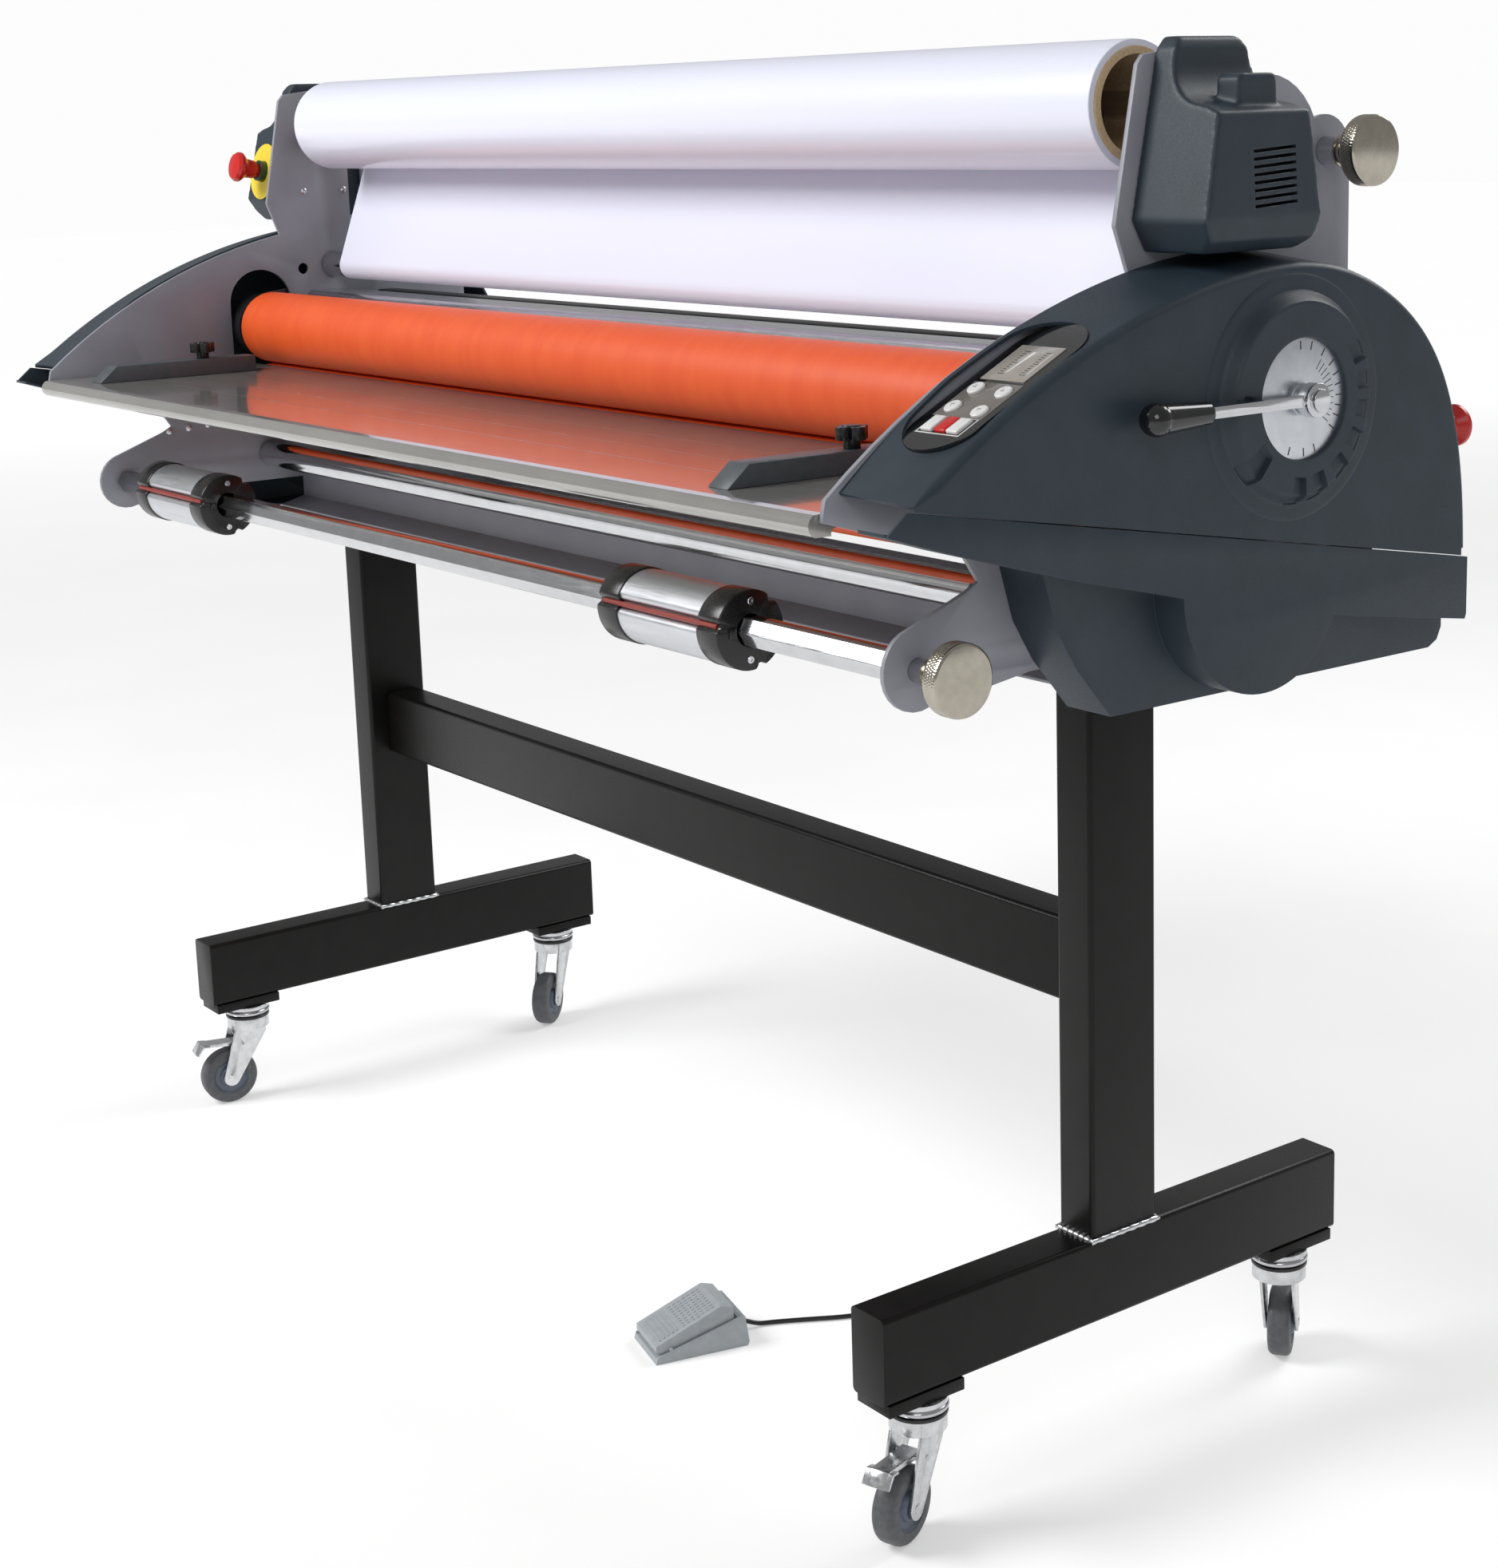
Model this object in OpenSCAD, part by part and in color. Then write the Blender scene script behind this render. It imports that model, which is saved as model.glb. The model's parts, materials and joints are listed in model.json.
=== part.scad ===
// Wide-format cold roll laminator on a castered stand.
// X runs along the rollers (the control side is +X), -Y is the operator's side, Z = 0 is the floor.

/* [Overall] */
// Clear width between the two steel side plates
inner_w = 1654; // [1640:2:1668]
// Distance between the two legs of the stand, centre to centre
leg_spacing = 1450; // [1400:10:1470]
// Width of the moulded end housings outside the side plates
housing_w = 98; // [94:1:104]

/* [Stand] */
// Height of the underside of the feet above the floor
foot_z = 148; // [146:1:152]
// Length of each foot, front to back
foot_len = 605; // [560:5:700]
// Height of the crossbar's underside
crossbar_z = 454; // [300:2:600]
// Diameter of the caster wheels
wheel_d = 75; // [73:1:75]
// Distance from a caster's swivel axis to its wheel's axle
trail = 32; // [28:1:34]

/* [Nip] */
// Height of the feed table's top, level with the nip
table_z = 997; // [996:1:998]
// Radius of the two rubber-covered rollers
roller_r = 47; // [46:0.1:47]
// How far the upper roller lifts for thick boards
lift = 28; // [20:1:28]
// Turn of the pressure lever from pressed to fully lifted, in degrees
lever_turn = 100; // [90:5:100]

/* [Film] */
// Radius of the film roll on the supply shaft
film_r = 57.5; // [50:0.5:58]
// Width of the film
film_w = 1554; // [600:2:1560]

/* [Take-up] */
// Outside radius of the core chucks
chuck_r = 37.5; // [36:0.1:38]
// Length of a core chuck
chuck_len = 200; // [150:5:220]

/* [Hidden] */

$fn = 64;
gap = 0.3;                      // clearance between pieces that move past each other
fit = 0.05;                     // radial clearance of a shaft in its bearing
wall = 3;                       // thickness of mouldings and tube walls
plate_t = 5;                    // thickness of the steel side plates
plate_x = inner_w / 2;          // inner face of the right side plate
back_x = plate_x + plate_t;     // outer face of the right side plate
cover_x = plate_x + housing_w;  // outer face of the end housing

// Axes that run along X, as [y, z]
nip = [-104, table_z + 2];
upper_axis = nip + [0, roller_r + 0.25];
lower_axis = nip - [0, roller_r + 0.25];
lever_axis = [37, 1058];
supply_axis = [-6, 1312];
front_idler_axis = [-105, 871];
rear_idler_axis = [7, 1124];
rewind_axis = [178, 1266];
takeup_axis = [-315, 855];
module_mm = 4;                  // gear module
roller_teeth = 21;
drive_teeth = 40;
gear_gap_y = 106.5;             // how far the drive gear's axis lies behind the roller's
gear_dist = module_mm * (roller_teeth + drive_teeth) / 2;
drive_axis = lower_axis + [gear_gap_y, -sqrt(gear_dist * gear_dist - gear_gap_y * gear_gap_y)];

tube = [48, 86];                // section of the stand's steel tube
caster_y = 245;                 // caster swivel axes, front and back of the middle
pad_t = 12;                     // thickness of the plates welded under the feet
upright_top = 849;

idler_r = 17.5;
idler_pin_r = 6;
journal_r = 12.5;
block_r = 43.5;                 // bearing blocks that sit in the side plates' slots
cam_r = 20;                     // cam radius with the roller pressed down
hub_r = 44;                     // inside radius of a film core
web_t = 0.6;
rewind_r = 30;

panel_at = [876, -262, 1091];   // middle of the control panel's top face
panel_tilt = 26.8;
key_travel = 1.2;
stop_travel = 5;
head_lean = 11.6;               // how far the head covers' front faces lean back
left_stop_at = [-878, -62.5, 1252];
right_stop_at = [878, 272, 1005];

pedal_at = [275, -200, 0];
pedal_turn = -14;
cord_r = 2.6;
inlet_at = [536, 228, 900];     // middle of the mains inlet on the rear panel
inlet = [32, 28];               // width and height of the inlet's body

// ---- helpers ----

// Points on the circle through a, b and c, from a to c, moved outwards by grow
function arc3(a, b, c, n = 10, grow = 0) =
    let(d = 2 * (a.x * (b.y - c.y) + b.x * (c.y - a.y) + c.x * (a.y - b.y)),
        na = a * a, nb = b * b, nc = c * c,
        m = [(na * (b.y - c.y) + nb * (c.y - a.y) + nc * (a.y - b.y)) / d,
             (na * (c.x - b.x) + nb * (a.x - c.x) + nc * (b.x - a.x)) / d],
        r = norm(a - m) + grow,
        t0 = atan2(a.y - m.y, a.x - m.x),
        sweep = (atan2(c.y - m.y, c.x - m.x) - t0 + 720) % 360,
        mid = (atan2(b.y - m.y, b.x - m.x) - t0 + 720) % 360,
        turn = mid <= sweep ? sweep : sweep - 360)
    [for (i = [0:n]) m + r * [cos(t0 + turn * i / n), sin(t0 + turn * i / n)]];

// Points on a circle about m, from angle t0 to t1
function arc(m, r, t0, t1, n = 10) =
    [for (i = [0:n]) let(t = t0 + (t1 - t0) * i / n) m + r * [cos(t), sin(t)]];

function dir(t) = [cos(t), sin(t)];
function tail(list) = [for (i = [1:len(list) - 1]) list[i]];
function unit(v) = v / norm(v);

// Angle of the normal of the straight belt line that touches two circles.
// A radius is negative where the line passes the circle on the side away from the normal.
function belt_normal(c1, r1, c2, r2, side) =
    atan2(c2.y - c1.y, c2.x - c1.x) + side * acos((r1 - r2) / norm(c2 - c1));

// Outline drawn in (Y, Z), extruded along X from x0 to x1
module slab(x0, x1) {
    translate([x0, 0, 0])
        rotate([90, 0, 90])
            linear_extrude(x1 - x0)
                children();
}

// Round bar along X about axis a = [y, z]
module bar(a, r, x0, x1) {
    translate([x0, a.x, a.y])
        rotate([0, 90, 0])
            cylinder(r = r, h = x1 - x0);
}

module both_sides() {
    children();
    mirror([1, 0, 0])
        children();
}

module on_side(s) {
    if (s > 0)
        children();
    else
        mirror([1, 0, 0])
            children();
}

// Solid skin over a list of rings that all have the same number of points
module skin(rings) {
    n = len(rings);
    m = len(rings[0]);
    points = [for (ring = rings) for (p = ring) p];
    sides = [for (i = [0:n - 2]) for (j = [0:m - 1])
        let(a = i * m + j, b = i * m + (j + 1) % m, c = a + m, d = b + m)
        each [[a, c, b], [b, c, d]]];
    first = [for (j = [0:m - 1]) j];
    last = [for (j = [m - 1:-1:0]) (n - 1) * m + j];
    polyhedron(points, concat(sides, [first, last]), convexity = 6);
}

module rounded_rect(size, r) {
    for (x = [-1, 1])
        for (y = [-1, 1])
            translate([x * (size.x / 2 - r), y * (size.y / 2 - r)])
                circle(r = r);
    square([size.x - 2 * r, size.y], center = true);
    square([size.x, size.y - 2 * r], center = true);
}

module tube_section(size, r = 5) {
    difference() {
        rounded_rect(size, r);
        rounded_rect(size - [2 * wall, 2 * wall], r - wall + 0.5);
    }
}

// ---- stand ----

module stand_feet() {
    color([0.10, 0.09, 0.09])
        for (s = [-1, 1])
            translate([s * leg_spacing / 2, 0, 0]) {
                translate([0, foot_len / 2 - wall, foot_z + tube.y / 2])
                    rotate([90, 0, 0])
                        linear_extrude(foot_len - 2 * wall)
                            tube_section(tube);
                for (e = [-1, 1])
                    translate([0, e * (foot_len - wall) / 2, foot_z + tube.y / 2])
                        rotate([90, 0, 0])
                            translate([0, 0, -wall / 2])
                                linear_extrude(wall)
                                    rounded_rect(tube, 5);
                for (e = [-1, 1])
                    caster_pad(e);
            }
}

// Flat plate under one end of a foot, bored for the caster's kingpin
module caster_pad(e) {
    translate([0, e * (foot_len / 2 - 50), foot_z - pad_t])
        difference() {
            translate([-tube.x / 2, -45, 0])
                cube([tube.x, 90, pad_t]);
            translate([0, e * (caster_y - foot_len / 2 + 50), -1])
                cylinder(r = 6 + fit, h = pad_t - 1);
        }
}

module stand_uprights() {
    color([0.10, 0.09, 0.09])
        for (s = [-1, 1])
            translate([s * leg_spacing / 2, 0, foot_z + tube.y])
                linear_extrude(upright_top - foot_z - tube.y)
                    tube_section(tube);
}

module stand_crossbar() {
    reach = leg_spacing / 2 - tube.x / 2;
    color([0.10, 0.09, 0.09])
        translate([-reach, 8, crossbar_z + tube.y / 2])
            rotate([90, 0, 90])
                linear_extrude(2 * reach)
                    tube_section([tube.x, tube.y]);
}

// Each caster: side of the stand, front or back, and which way its wheel trails
casters = [[-1, -1, 261], [1, -1, 289], [-1, 1, 307], [1, 1, 127]];

module at_caster(i) {
    translate([casters[i][0] * leg_spacing / 2, casters[i][1] * caster_y, 0])
        rotate([0, 0, casters[i][2]])
            children();
}

fork_leg_y = 15;
fork_z = 104;                   // underside of the fork's crown
axle_r = 5;
brake_pin = [14, 81];

// Swivel head, two fork legs and the axle, with the trail along +X
module caster_fork(i) {
    top = foot_z - pad_t - gap;
    color([0.80, 0.81, 0.82])
        at_caster(i) {
            translate([0, 0, fork_z])
                cylinder(r = 6, h = foot_z - 3 - fork_z);
            translate([0, 0, top - 5])
                cylinder(r = 29, h = 5);
            translate([0, 0, top - 15])
                cylinder(r = 25, h = 10);
            translate([0, 0, fork_z])
                cylinder(r = 28, h = top - 15 - fork_z);
            for (s = [-1, 1])
                caster_leg(s);
            translate([trail, 19, wheel_d / 2])
                rotate([90, 0, 0])
                    cylinder(r = axle_r, h = 38);
            if (casters[i][1] < 0)
                translate([brake_pin.x, 19, brake_pin.y])
                    rotate([90, 0, 0])
                        cylinder(r = 3, h = 38);
        }
}

module caster_leg(s) {
    axle_z = wheel_d / 2;
    translate([0, s * (fork_leg_y + 1.5) + 1.5, 0])
        rotate([90, 0, 0])
            linear_extrude(3)
                polygon(concat(
                    [[-19, fork_z], [-19, 98]],
                    arc([trail, axle_z], 11, 205, 385, 10),
                    [[27, 92], [23, fork_z]]));
}

module caster_wheel(i) {
    half = 12;
    color([0.42, 0.43, 0.45])
        at_caster(i)
            translate([trail, 0, wheel_d / 2])
                rotate([90, 0, 0]) {
                    rotate_extrude()
                        polygon(concat(
                            [[24, -half], [wheel_d / 2 - 6, -half]],
                            arc([wheel_d / 2 - 6, -half + 6], 6, -90, 0, 6),
                            arc([wheel_d / 2 - 6, half - 6], 6, 0, 90, 6),
                            [[24, half]]));
                    rotate_extrude()
                        polygon([[axle_r + fit, -half - 1.5], [13, -half - 1.5], [15, -half + 3],
                                 [21, -half + 3], [24, -half], [24, half], [21, half - 3],
                                 [15, half - 3], [13, half + 1.5], [axle_r + fit, half + 1.5]]);
                }
}

// Pressed lever that swings down onto the tread
module caster_brake(i) {
    color([0.80, 0.81, 0.82])
        at_caster(i) {
            translate([brake_pin.x, 10, brake_pin.y])
                rotate([90, 0, 0])
                    linear_extrude(20)
                        difference() {
                            union() {
                                circle(r = 5.5);
                                polygon([[0, -4], [8, -1], [52, 3.5], [60, -6.5], [63, -5.5], [54, 7.5], [0, 5]]);
                            }
                            circle(r = 3 + fit);
                        }
        }
}

// ---- machine frame ----

// Outer edge of the end housing's top and back, from the nose to the lower rear corner
function housing_edge(grow = 0) = concat(
    arc3([-418, 989], [-199, 1124], [45, 1181], 18, grow),
    tail(arc3([45, 1181], [150, 1156], [241, 1083], 10, grow)),
    tail(arc3([241, 1083], [272, 982], [277, 889], 6, grow)));

function lower_edge(lift_by = 0) =
    [for (p = arc3([275, 829], [-87, 896], [-418, 989], 10)) p + [0, lift_by]];

module housing_outline() {
    polygon(concat(housing_edge(), [[277, 834]], lower_edge()));
}

module above_parting(offset_z = 0) {
    polygon([[-440, 1014.5 + offset_z], [320, 881 + offset_z], [320, 1300], [-440, 1300]]);
}

module plate_outline() {
    polygon(concat(
        [[-410, 990]],
        arc3([-406, 1008], [-200, 1130], [-70, 1168], 12),
        [[-86, 1210], [-59, 1346], [-52, 1354], [-5, 1360], [28, 1356], [38, 1346]],
        [[38, 1190], [58, 1190]],
        arc([100, 1266], 70, 127, 25, 10),
        tail(arc(rewind_axis, 33, 116, 0, 10)),
        [[211, 835], [-189, 835], [-206, 833], [-298, 820]],
        arc(takeup_axis, 36, 292, 115, 12),
        [[-259, 914], [-246, 921], [-262, 945]]));
}

module side_plate(s) {
    slot_top = 1077;
    color([0.55, 0.54, 0.58])
        on_side(s)
            slab(plate_x, back_x)
                difference() {
                    plate_outline();
                    hole(rear_idler_axis, idler_pin_r + fit);
                    hole(front_idler_axis, idler_pin_r + fit);
                    hole(supply_axis, journal_r + fit);
                    hole(rewind_axis, journal_r + fit);
                    hole(takeup_axis, 10 + fit);
                    hole(lever_axis, 10 + fit);
                    hole([-38, 1120], 7.5);
                    hole([upper_axis.x, slot_top], 45);
                    translate([upper_axis.x - 45, 905])
                        square([90, slot_top - 905]);
                }
}

module hole(a, r) {
    translate(a)
        circle(r = r);
}

module feed_tables() {
    color([0.62, 0.62, 0.63])
        slab(-plate_x + 0.5, plate_x - 0.5) {
            difference() {
                polygon(concat(
                    [[-121, table_z], [-150, table_z - 13], [-392, table_z - 13]],
                    arc([-392, table_z - 18], 5, 90, 200, 5),
                    arc([-410, table_z - 10], 10, 250, 110, 8),
                    [[-404, table_z]]));
                for (y = [-323, -266, -207])
                    translate([y - 1, table_z - 1])
                        square([2, 2]);
            }
        }
    color([0.62, 0.62, 0.63])
        slab(-plate_x + 0.5, plate_x - 0.5)
            polygon([[-72, 993], [-72, 990], [228, 984], [232, 978], [232, 955], [235, 955],
                     [235, 981], [229, 987]]);
}

// Base channel, nip tie bar, rear tie tube and rear panel between the side plates
module cross_members() {
    x = plate_x - 0.5;
    color([0.45, 0.46, 0.50])
        slab(-x, x)
            polygon([[-60, 852], [60, 852], [60, 806], [57, 806], [57, 849], [-57, 849],
                     [-57, 806], [-95, 796], [-95, 799], [-60, 808.6]]);
    color([0.78, 0.79, 0.80])
        slab(-x, x)
            polygon([[-40, 1062], [22, 1062], [22, 1090], [-28, 1090], [-34, 1086], [-40, 1078]]);
    color([0.13, 0.13, 0.15])
        slab(-x, x)
            translate([87, 1066])
                difference() {
                    square([30, 38], center = true);
                    square([24, 32], center = true);
                }
    color([0.45, 0.46, 0.50])
        difference() {
            slab(-x, x)
                polygon([[205, 846], [228, 846], [228, 975], [225, 975], [225, 849], [205, 849]]);
            translate(inlet_at - [inlet.x / 2 + 0.5, 10, inlet.y / 2 + 0.5])
                cube([inlet.x + 1, 20, inlet.y + 1]);
        }
}

// ---- covers ----

// Curved top and back with the outer wall, open towards the side plate
module side_cover(s) {
    color([0.16, 0.20, 0.24])
        on_side(s)
            difference() {
                union() {
                    slab(back_x + gap, cover_x)
                        upper_outline(0.4);
                    if (s > 0) {
                        dial_boss();
                        stop_boss();
                    }
                }
                slab(back_x, cover_x - wall)
                    polygon(concat(housing_edge(-wall), [[274, 700], [-420, 700]]));
                if (s > 0) {
                    dial_recess();
                    panel_pocket();
                    stop_hole();
                }
            }
}

module upper_outline(offset_z) {
    intersection() {
        housing_outline();
        above_parting(offset_z);
    }
}

dial_h = 14;
dial_r = 53;

module dial_boss() {
    at_lever(cover_x)
        cylinder(r = 108, h = 2);
    at_lever(cover_x)
        cylinder(r1 = 94, r2 = 84, h = dial_h);
}

module dial_recess() {
    at_lever(cover_x + dial_h - 5)
        cylinder(r = dial_r, h = 6);
    at_lever(cover_x - wall - 1)
        cylinder(r = 60, h = dial_h - 4);
    at_lever(cover_x - wall - 1)
        cylinder(r = 14, h = dial_h + 10);
}

module at_lever(x) {
    translate([x, lever_axis.x, lever_axis.y])
        rotate([0, 90, 0])
            children();
}

// Flat pad on the sloping back that the stop button's collar sits on
module stop_boss() {
    at_right_stop()
        translate([0, 0, -14])
            cylinder(r = 17, h = 14);
}

module stop_hole() {
    at_right_stop()
        cylinder(r = 12, h = 60, center = true);
}

module panel_outline(grow = 0) {
    for (y = [-58, 58])
        translate([0, y])
            circle(r = 39 + grow);
    square([78 + 2 * grow, 116], center = true);
}

module at_panel(x = 0, y = 0, z = 0) {
    translate(panel_at)
        rotate([panel_tilt, 0, 0])
            translate([x, y, z])
                children();
}

module panel_pocket() {
    at_panel(0, 0, -3.2)
        linear_extrude(40)
            panel_outline(0.3);
}

// Skirt under the parting line, and the lower housing with its gear bulge
module lower_cover(s) {
    color([0.15, 0.19, 0.23])
        on_side(s) {
            slab(cover_x - wall, cover_x)
                difference() {
                    housing_outline();
                    above_parting(-0.4);
                    hole(bulge_axis, bulge_r - wall);
                }
            slab(lower_x, cover_x - wall)
                difference() {
                    lip_outline();
                    hole(bulge_axis, bulge_r - wall);
                }
            slab(lower_x - wall, lower_x)
                difference() {
                    lower_outline();
                    hole(bulge_axis, bulge_r - wall);
                }
            slab(back_x + gap, lower_x - wall)
                lower_rim();
            slab(lower_x - wall, cover_x)
                difference() {
                    hole(bulge_axis, bulge_r);
                    hole(bulge_axis, bulge_r - wall);
                    polygon(concat(lower_edge(), [[-418, 1200], [277, 1200]]));
                }
            slab(cover_x - wall, cover_x)
                difference() {
                    hole(bulge_axis, bulge_r - wall);
                    above_parting(-0.4);
                }
        }
}

lower_x = cover_x - 37;         // outer face of the lower housing
bulge_axis = [3, 899];
bulge_r = 99;

module lip_outline() {
    edge = lower_edge(wall);
    polygon(concat(lower_edge(), [for (i = [len(edge) - 1:-1:0]) edge[i]]));
}

module lower_outline() {
    intersection() {
        polygon([[-232, 960], [-209, 882], [-187, 845], [-147, 797], [268, 797], [280, 803], [286, 815],
                 [286, 960]]);
        polygon(concat(lower_edge(6), [[-418, 700], [330, 700], [330, 830]]));
    }
}

module lower_rim() {
    difference() {
        lower_outline();
        translate([0, wall])
            polygon([[-228, 1000], [-206, 882], [-184, 845], [-145.5, 797], [268, 797], [277, 801],
                     [283, 815], [283, 1000]]);
    }
}

// Shape of a head cover: front view crossed with side view, shrunk by t for its hollow
module head_block(t) {
    intersection() {
        translate([0, 100, 0])
            rotate([90, 0, 0])
                linear_extrude(200)
                    offset(delta = -t)
                        polygon([[back_x + gap - 2 * t, 1369], [852, 1368], [861, 1350], [868, 1326],
                                 [884, 1313], [919, 1305], [924, 1216], [920, 1196], [905, 1186],
                                 [back_x + gap - 2 * t, 1186]]);
        slab(back_x + gap - 2 * t, cover_x + 20)
            offset(delta = -t)
                polygon([[-53, 1186], [-69, 1214], [-39, 1360], [-30, 1369], [42, 1369], [50, 1358],
                         [62, 1308], [73, 1210], [68, 1192], [58, 1186]]);
    }
}

module head_cover(s) {
    color([0.19, 0.23, 0.27])
        on_side(s)
            difference() {
                union() {
                    head_block(0);
                    translate([878, -14, 1306])
                        cube([28, 50, 30]);
                }
                head_block(wall);
                if (s > 0)
                    for (i = [0:7])
                        translate([cover_x - 12, -8, 1226 + 6.6 * i])
                            cube([20, 50, 2.6]);
                else
                    translate([-left_stop_at.x, left_stop_at.y, left_stop_at.z])
                        rotate([90 - head_lean, 0, 0])
                            translate([0, 0, -12])
                                cylinder(r = 12, h = 20);
            }
}

// ---- rollers and pressure ----

sleeve_half = 795;
vent_r = 3;                     // centre bore in a tube's end

// Steel tube with a plugged end on each side, centre-bored through one journal
module roller_profile(end_x) {
    tube_r = roller_r - 7;
    plug = sleeve_half - 30;
    difference() {
        polygon([[0, -end_x], [journal_r, -end_x], [journal_r, -sleeve_half], [tube_r, -sleeve_half],
                 [tube_r, sleeve_half], [journal_r, sleeve_half], [journal_r, end_x], [0, end_x]]);
        translate([0, -plug])
            square([tube_r - 8, 2 * plug]);
        square([vent_r, end_x + 1]);
    }
}

module sleeve_profile() {
    polygon([[roller_r - 7, -sleeve_half], [roller_r - 1, -sleeve_half], [roller_r, -sleeve_half + 1],
             [roller_r, sleeve_half - 1], [roller_r - 1, sleeve_half], [roller_r - 7, sleeve_half]]);
}

module turned(a) {
    translate([0, a.x, a.y])
        rotate([0, 90, 0])
            rotate_extrude()
                children();
}

module upper_roller_core() {
    color([0.72, 0.73, 0.75])
        turned(upper_axis)
            roller_profile(back_x + 14);
}

module upper_roller_sleeve() {
    color([0.86, 0.30, 0.12])
        turned(upper_axis)
            sleeve_profile();
}

module lower_roller() {
    color([0.72, 0.73, 0.75])
        turned(lower_axis)
            roller_profile(back_x + 26);
    color([0.86, 0.30, 0.12])
        turned(lower_axis)
            sleeve_profile();
    color([0.60, 0.60, 0.62])
        translate([back_x + 11, lower_axis.x, lower_axis.y])
            rotate([90, 0, 90])
                linear_extrude(14)
                    difference() {
                        gear(roller_teeth, 0);
                        circle(r = journal_r);
                    }
}

// Spur gear with straight-flanked teeth, a tooth centred at angle t0
module gear(teeth, t0) {
    r = module_mm * teeth / 2;
    step = 360 / teeth;
    polygon([for (i = [0:teeth - 1]) let(t = t0 + i * step)
        each [(r - 1.3 * module_mm) * dir(t - 0.34 * step),
              (r - 0.05 * module_mm) * dir(t - 0.23 * step),
              (r + 0.9 * module_mm) * dir(t - 0.11 * step),
              (r + 0.9 * module_mm) * dir(t + 0.11 * step),
              (r - 0.05 * module_mm) * dir(t + 0.23 * step),
              (r - 1.3 * module_mm) * dir(t + 0.34 * step)]]);
}

// The drive gear's teeth stand in the gaps of the roller's gear
module drive_gear() {
    line = atan2(drive_axis.y - lower_axis.y, drive_axis.x - lower_axis.x);
    roller_step = 360 / roller_teeth;
    lead = line - roller_step * round(line / roller_step);
    start = line + 180 + lead * roller_teeth / drive_teeth + 180 / drive_teeth;
    color([0.60, 0.60, 0.62]) {
        translate([back_x + 11, drive_axis.x, drive_axis.y])
            rotate([90, 0, 90])
                linear_extrude(14)
                    gear(drive_teeth, start);
        bar(drive_axis, 8, back_x + 11, back_x + 50);
    }
}

module gearmotor() {
    x0 = back_x + 27;
    color([0.30, 0.31, 0.33]) {
        difference() {
            translate([x0, drive_axis.x - 30, drive_axis.y - 29])
                cube([56, 60, 58]);
            bar(drive_axis, 8 + fit, x0 - 1, x0 + 30);
        }
        translate([x0 + 28, drive_axis.x + 30, drive_axis.y])
            rotate([-90, 0, 0])
                cylinder(r = 26, h = 130);
    }
}

// Bearing blocks of the upper roller with the arms that the cams lift
module roller_carriages() {
    color([0.50, 0.51, 0.53])
        both_sides() {
            slab(plate_x - 20, back_x + 2)
                difference() {
                    hole(upper_axis, block_r);
                    hole(upper_axis, journal_r + fit);
                }
            slab(back_x + 2, back_x + 10)
                difference() {
                    union() {
                        hole(upper_axis, block_r);
                        polygon([upper_axis + [0, 30], [lever_axis.x - 10, 1094], lever_axis + [0, cam_r + 0.6],
                                 [lever_axis.x + 10, 1094], [lever_axis.x + 12, 1108], upper_axis + [0, 43]]);
                    }
                    hole(upper_axis, journal_r + fit);
                }
        }
}

module lower_bearings() {
    color([0.50, 0.51, 0.53])
        both_sides() {
            slab(plate_x - 20, back_x)
                difference() {
                    hole(lower_axis, block_r);
                    hole(lower_axis, journal_r + fit);
                }
            slab(back_x, back_x + 6)
                difference() {
                    translate(lower_axis)
                        square([150, 46], center = true);
                    hole(lower_axis, journal_r + fit);
                }
        }
}

cam_peak = cam_r + lift;

// Spiral cam: its radius grows evenly over the lever's turn
module cam_outline() {
    polygon(concat(
        [for (i = [0:10]) (cam_r + lift * i / 10) * dir(90 + lever_turn * i / 10)],
        [cam_peak * dir(95 + lever_turn), (cam_peak - 8) * dir(110 + lever_turn)],
        arc([0, 0], cam_r, 130 + lever_turn, 450, 12)));
}

arm_x = cover_x + dial_h + 10;

module pressure_lever() {
    color([0.78, 0.79, 0.80]) {
        bar(lever_axis, 10, -back_x - 12, arm_x + 10);
        both_sides()
            slab(back_x + 2, back_x + 10)
                translate(lever_axis)
                    difference() {
                        cam_outline();
                        circle(r = 10);
                    }
        translate([arm_x - 4, lever_axis.x - 128, lever_axis.y - 5])
            cube([6, 116, 10]);
        difference() {
            bar(lever_axis, 15, arm_x - 6, arm_x + 6);
            bar(lever_axis, 10, arm_x - 7, arm_x + 7);
        }
    }
}

module lever_grip() {
    color([0.05, 0.05, 0.05])
        translate([arm_x - 1, lever_axis.x - 128.3, lever_axis.y])
            rotate([90, 0, 0])
                rotate_extrude()
                    polygon(concat([[0, 0], [9, 0], [10, 2]], arc([0, 60], 14.5, -20, 90, 10)));
}

// ---- idlers, film and shafts ----

module idler(a) {
    color([0.75, 0.76, 0.78])
        turned(a)
            difference() {
                polygon([[0, -back_x - 1], [idler_pin_r, -back_x - 1], [idler_pin_r, -plate_x + 2],
                         [idler_r, -plate_x + 2], [idler_r, plate_x - 2], [idler_pin_r, plate_x - 2],
                         [idler_pin_r, back_x + 1], [0, back_x + 1]]);
                translate([0, -plate_x + 20])
                    square([idler_r - wall, inner_w - 40]);
                square([vent_r, back_x + 2]);
            }
}

module supply_shaft() {
    color([0.35, 0.35, 0.37]) {
        bar(supply_axis, journal_r, -back_x - 12, back_x + 12);
        both_sides()
            difference() {
                bar(supply_axis, hub_r - 0.4, film_w / 2 - 170, film_w / 2 - 90);
                bar(supply_axis, journal_r, film_w / 2 - 171, film_w / 2 - 89);
            }
    }
}

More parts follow.
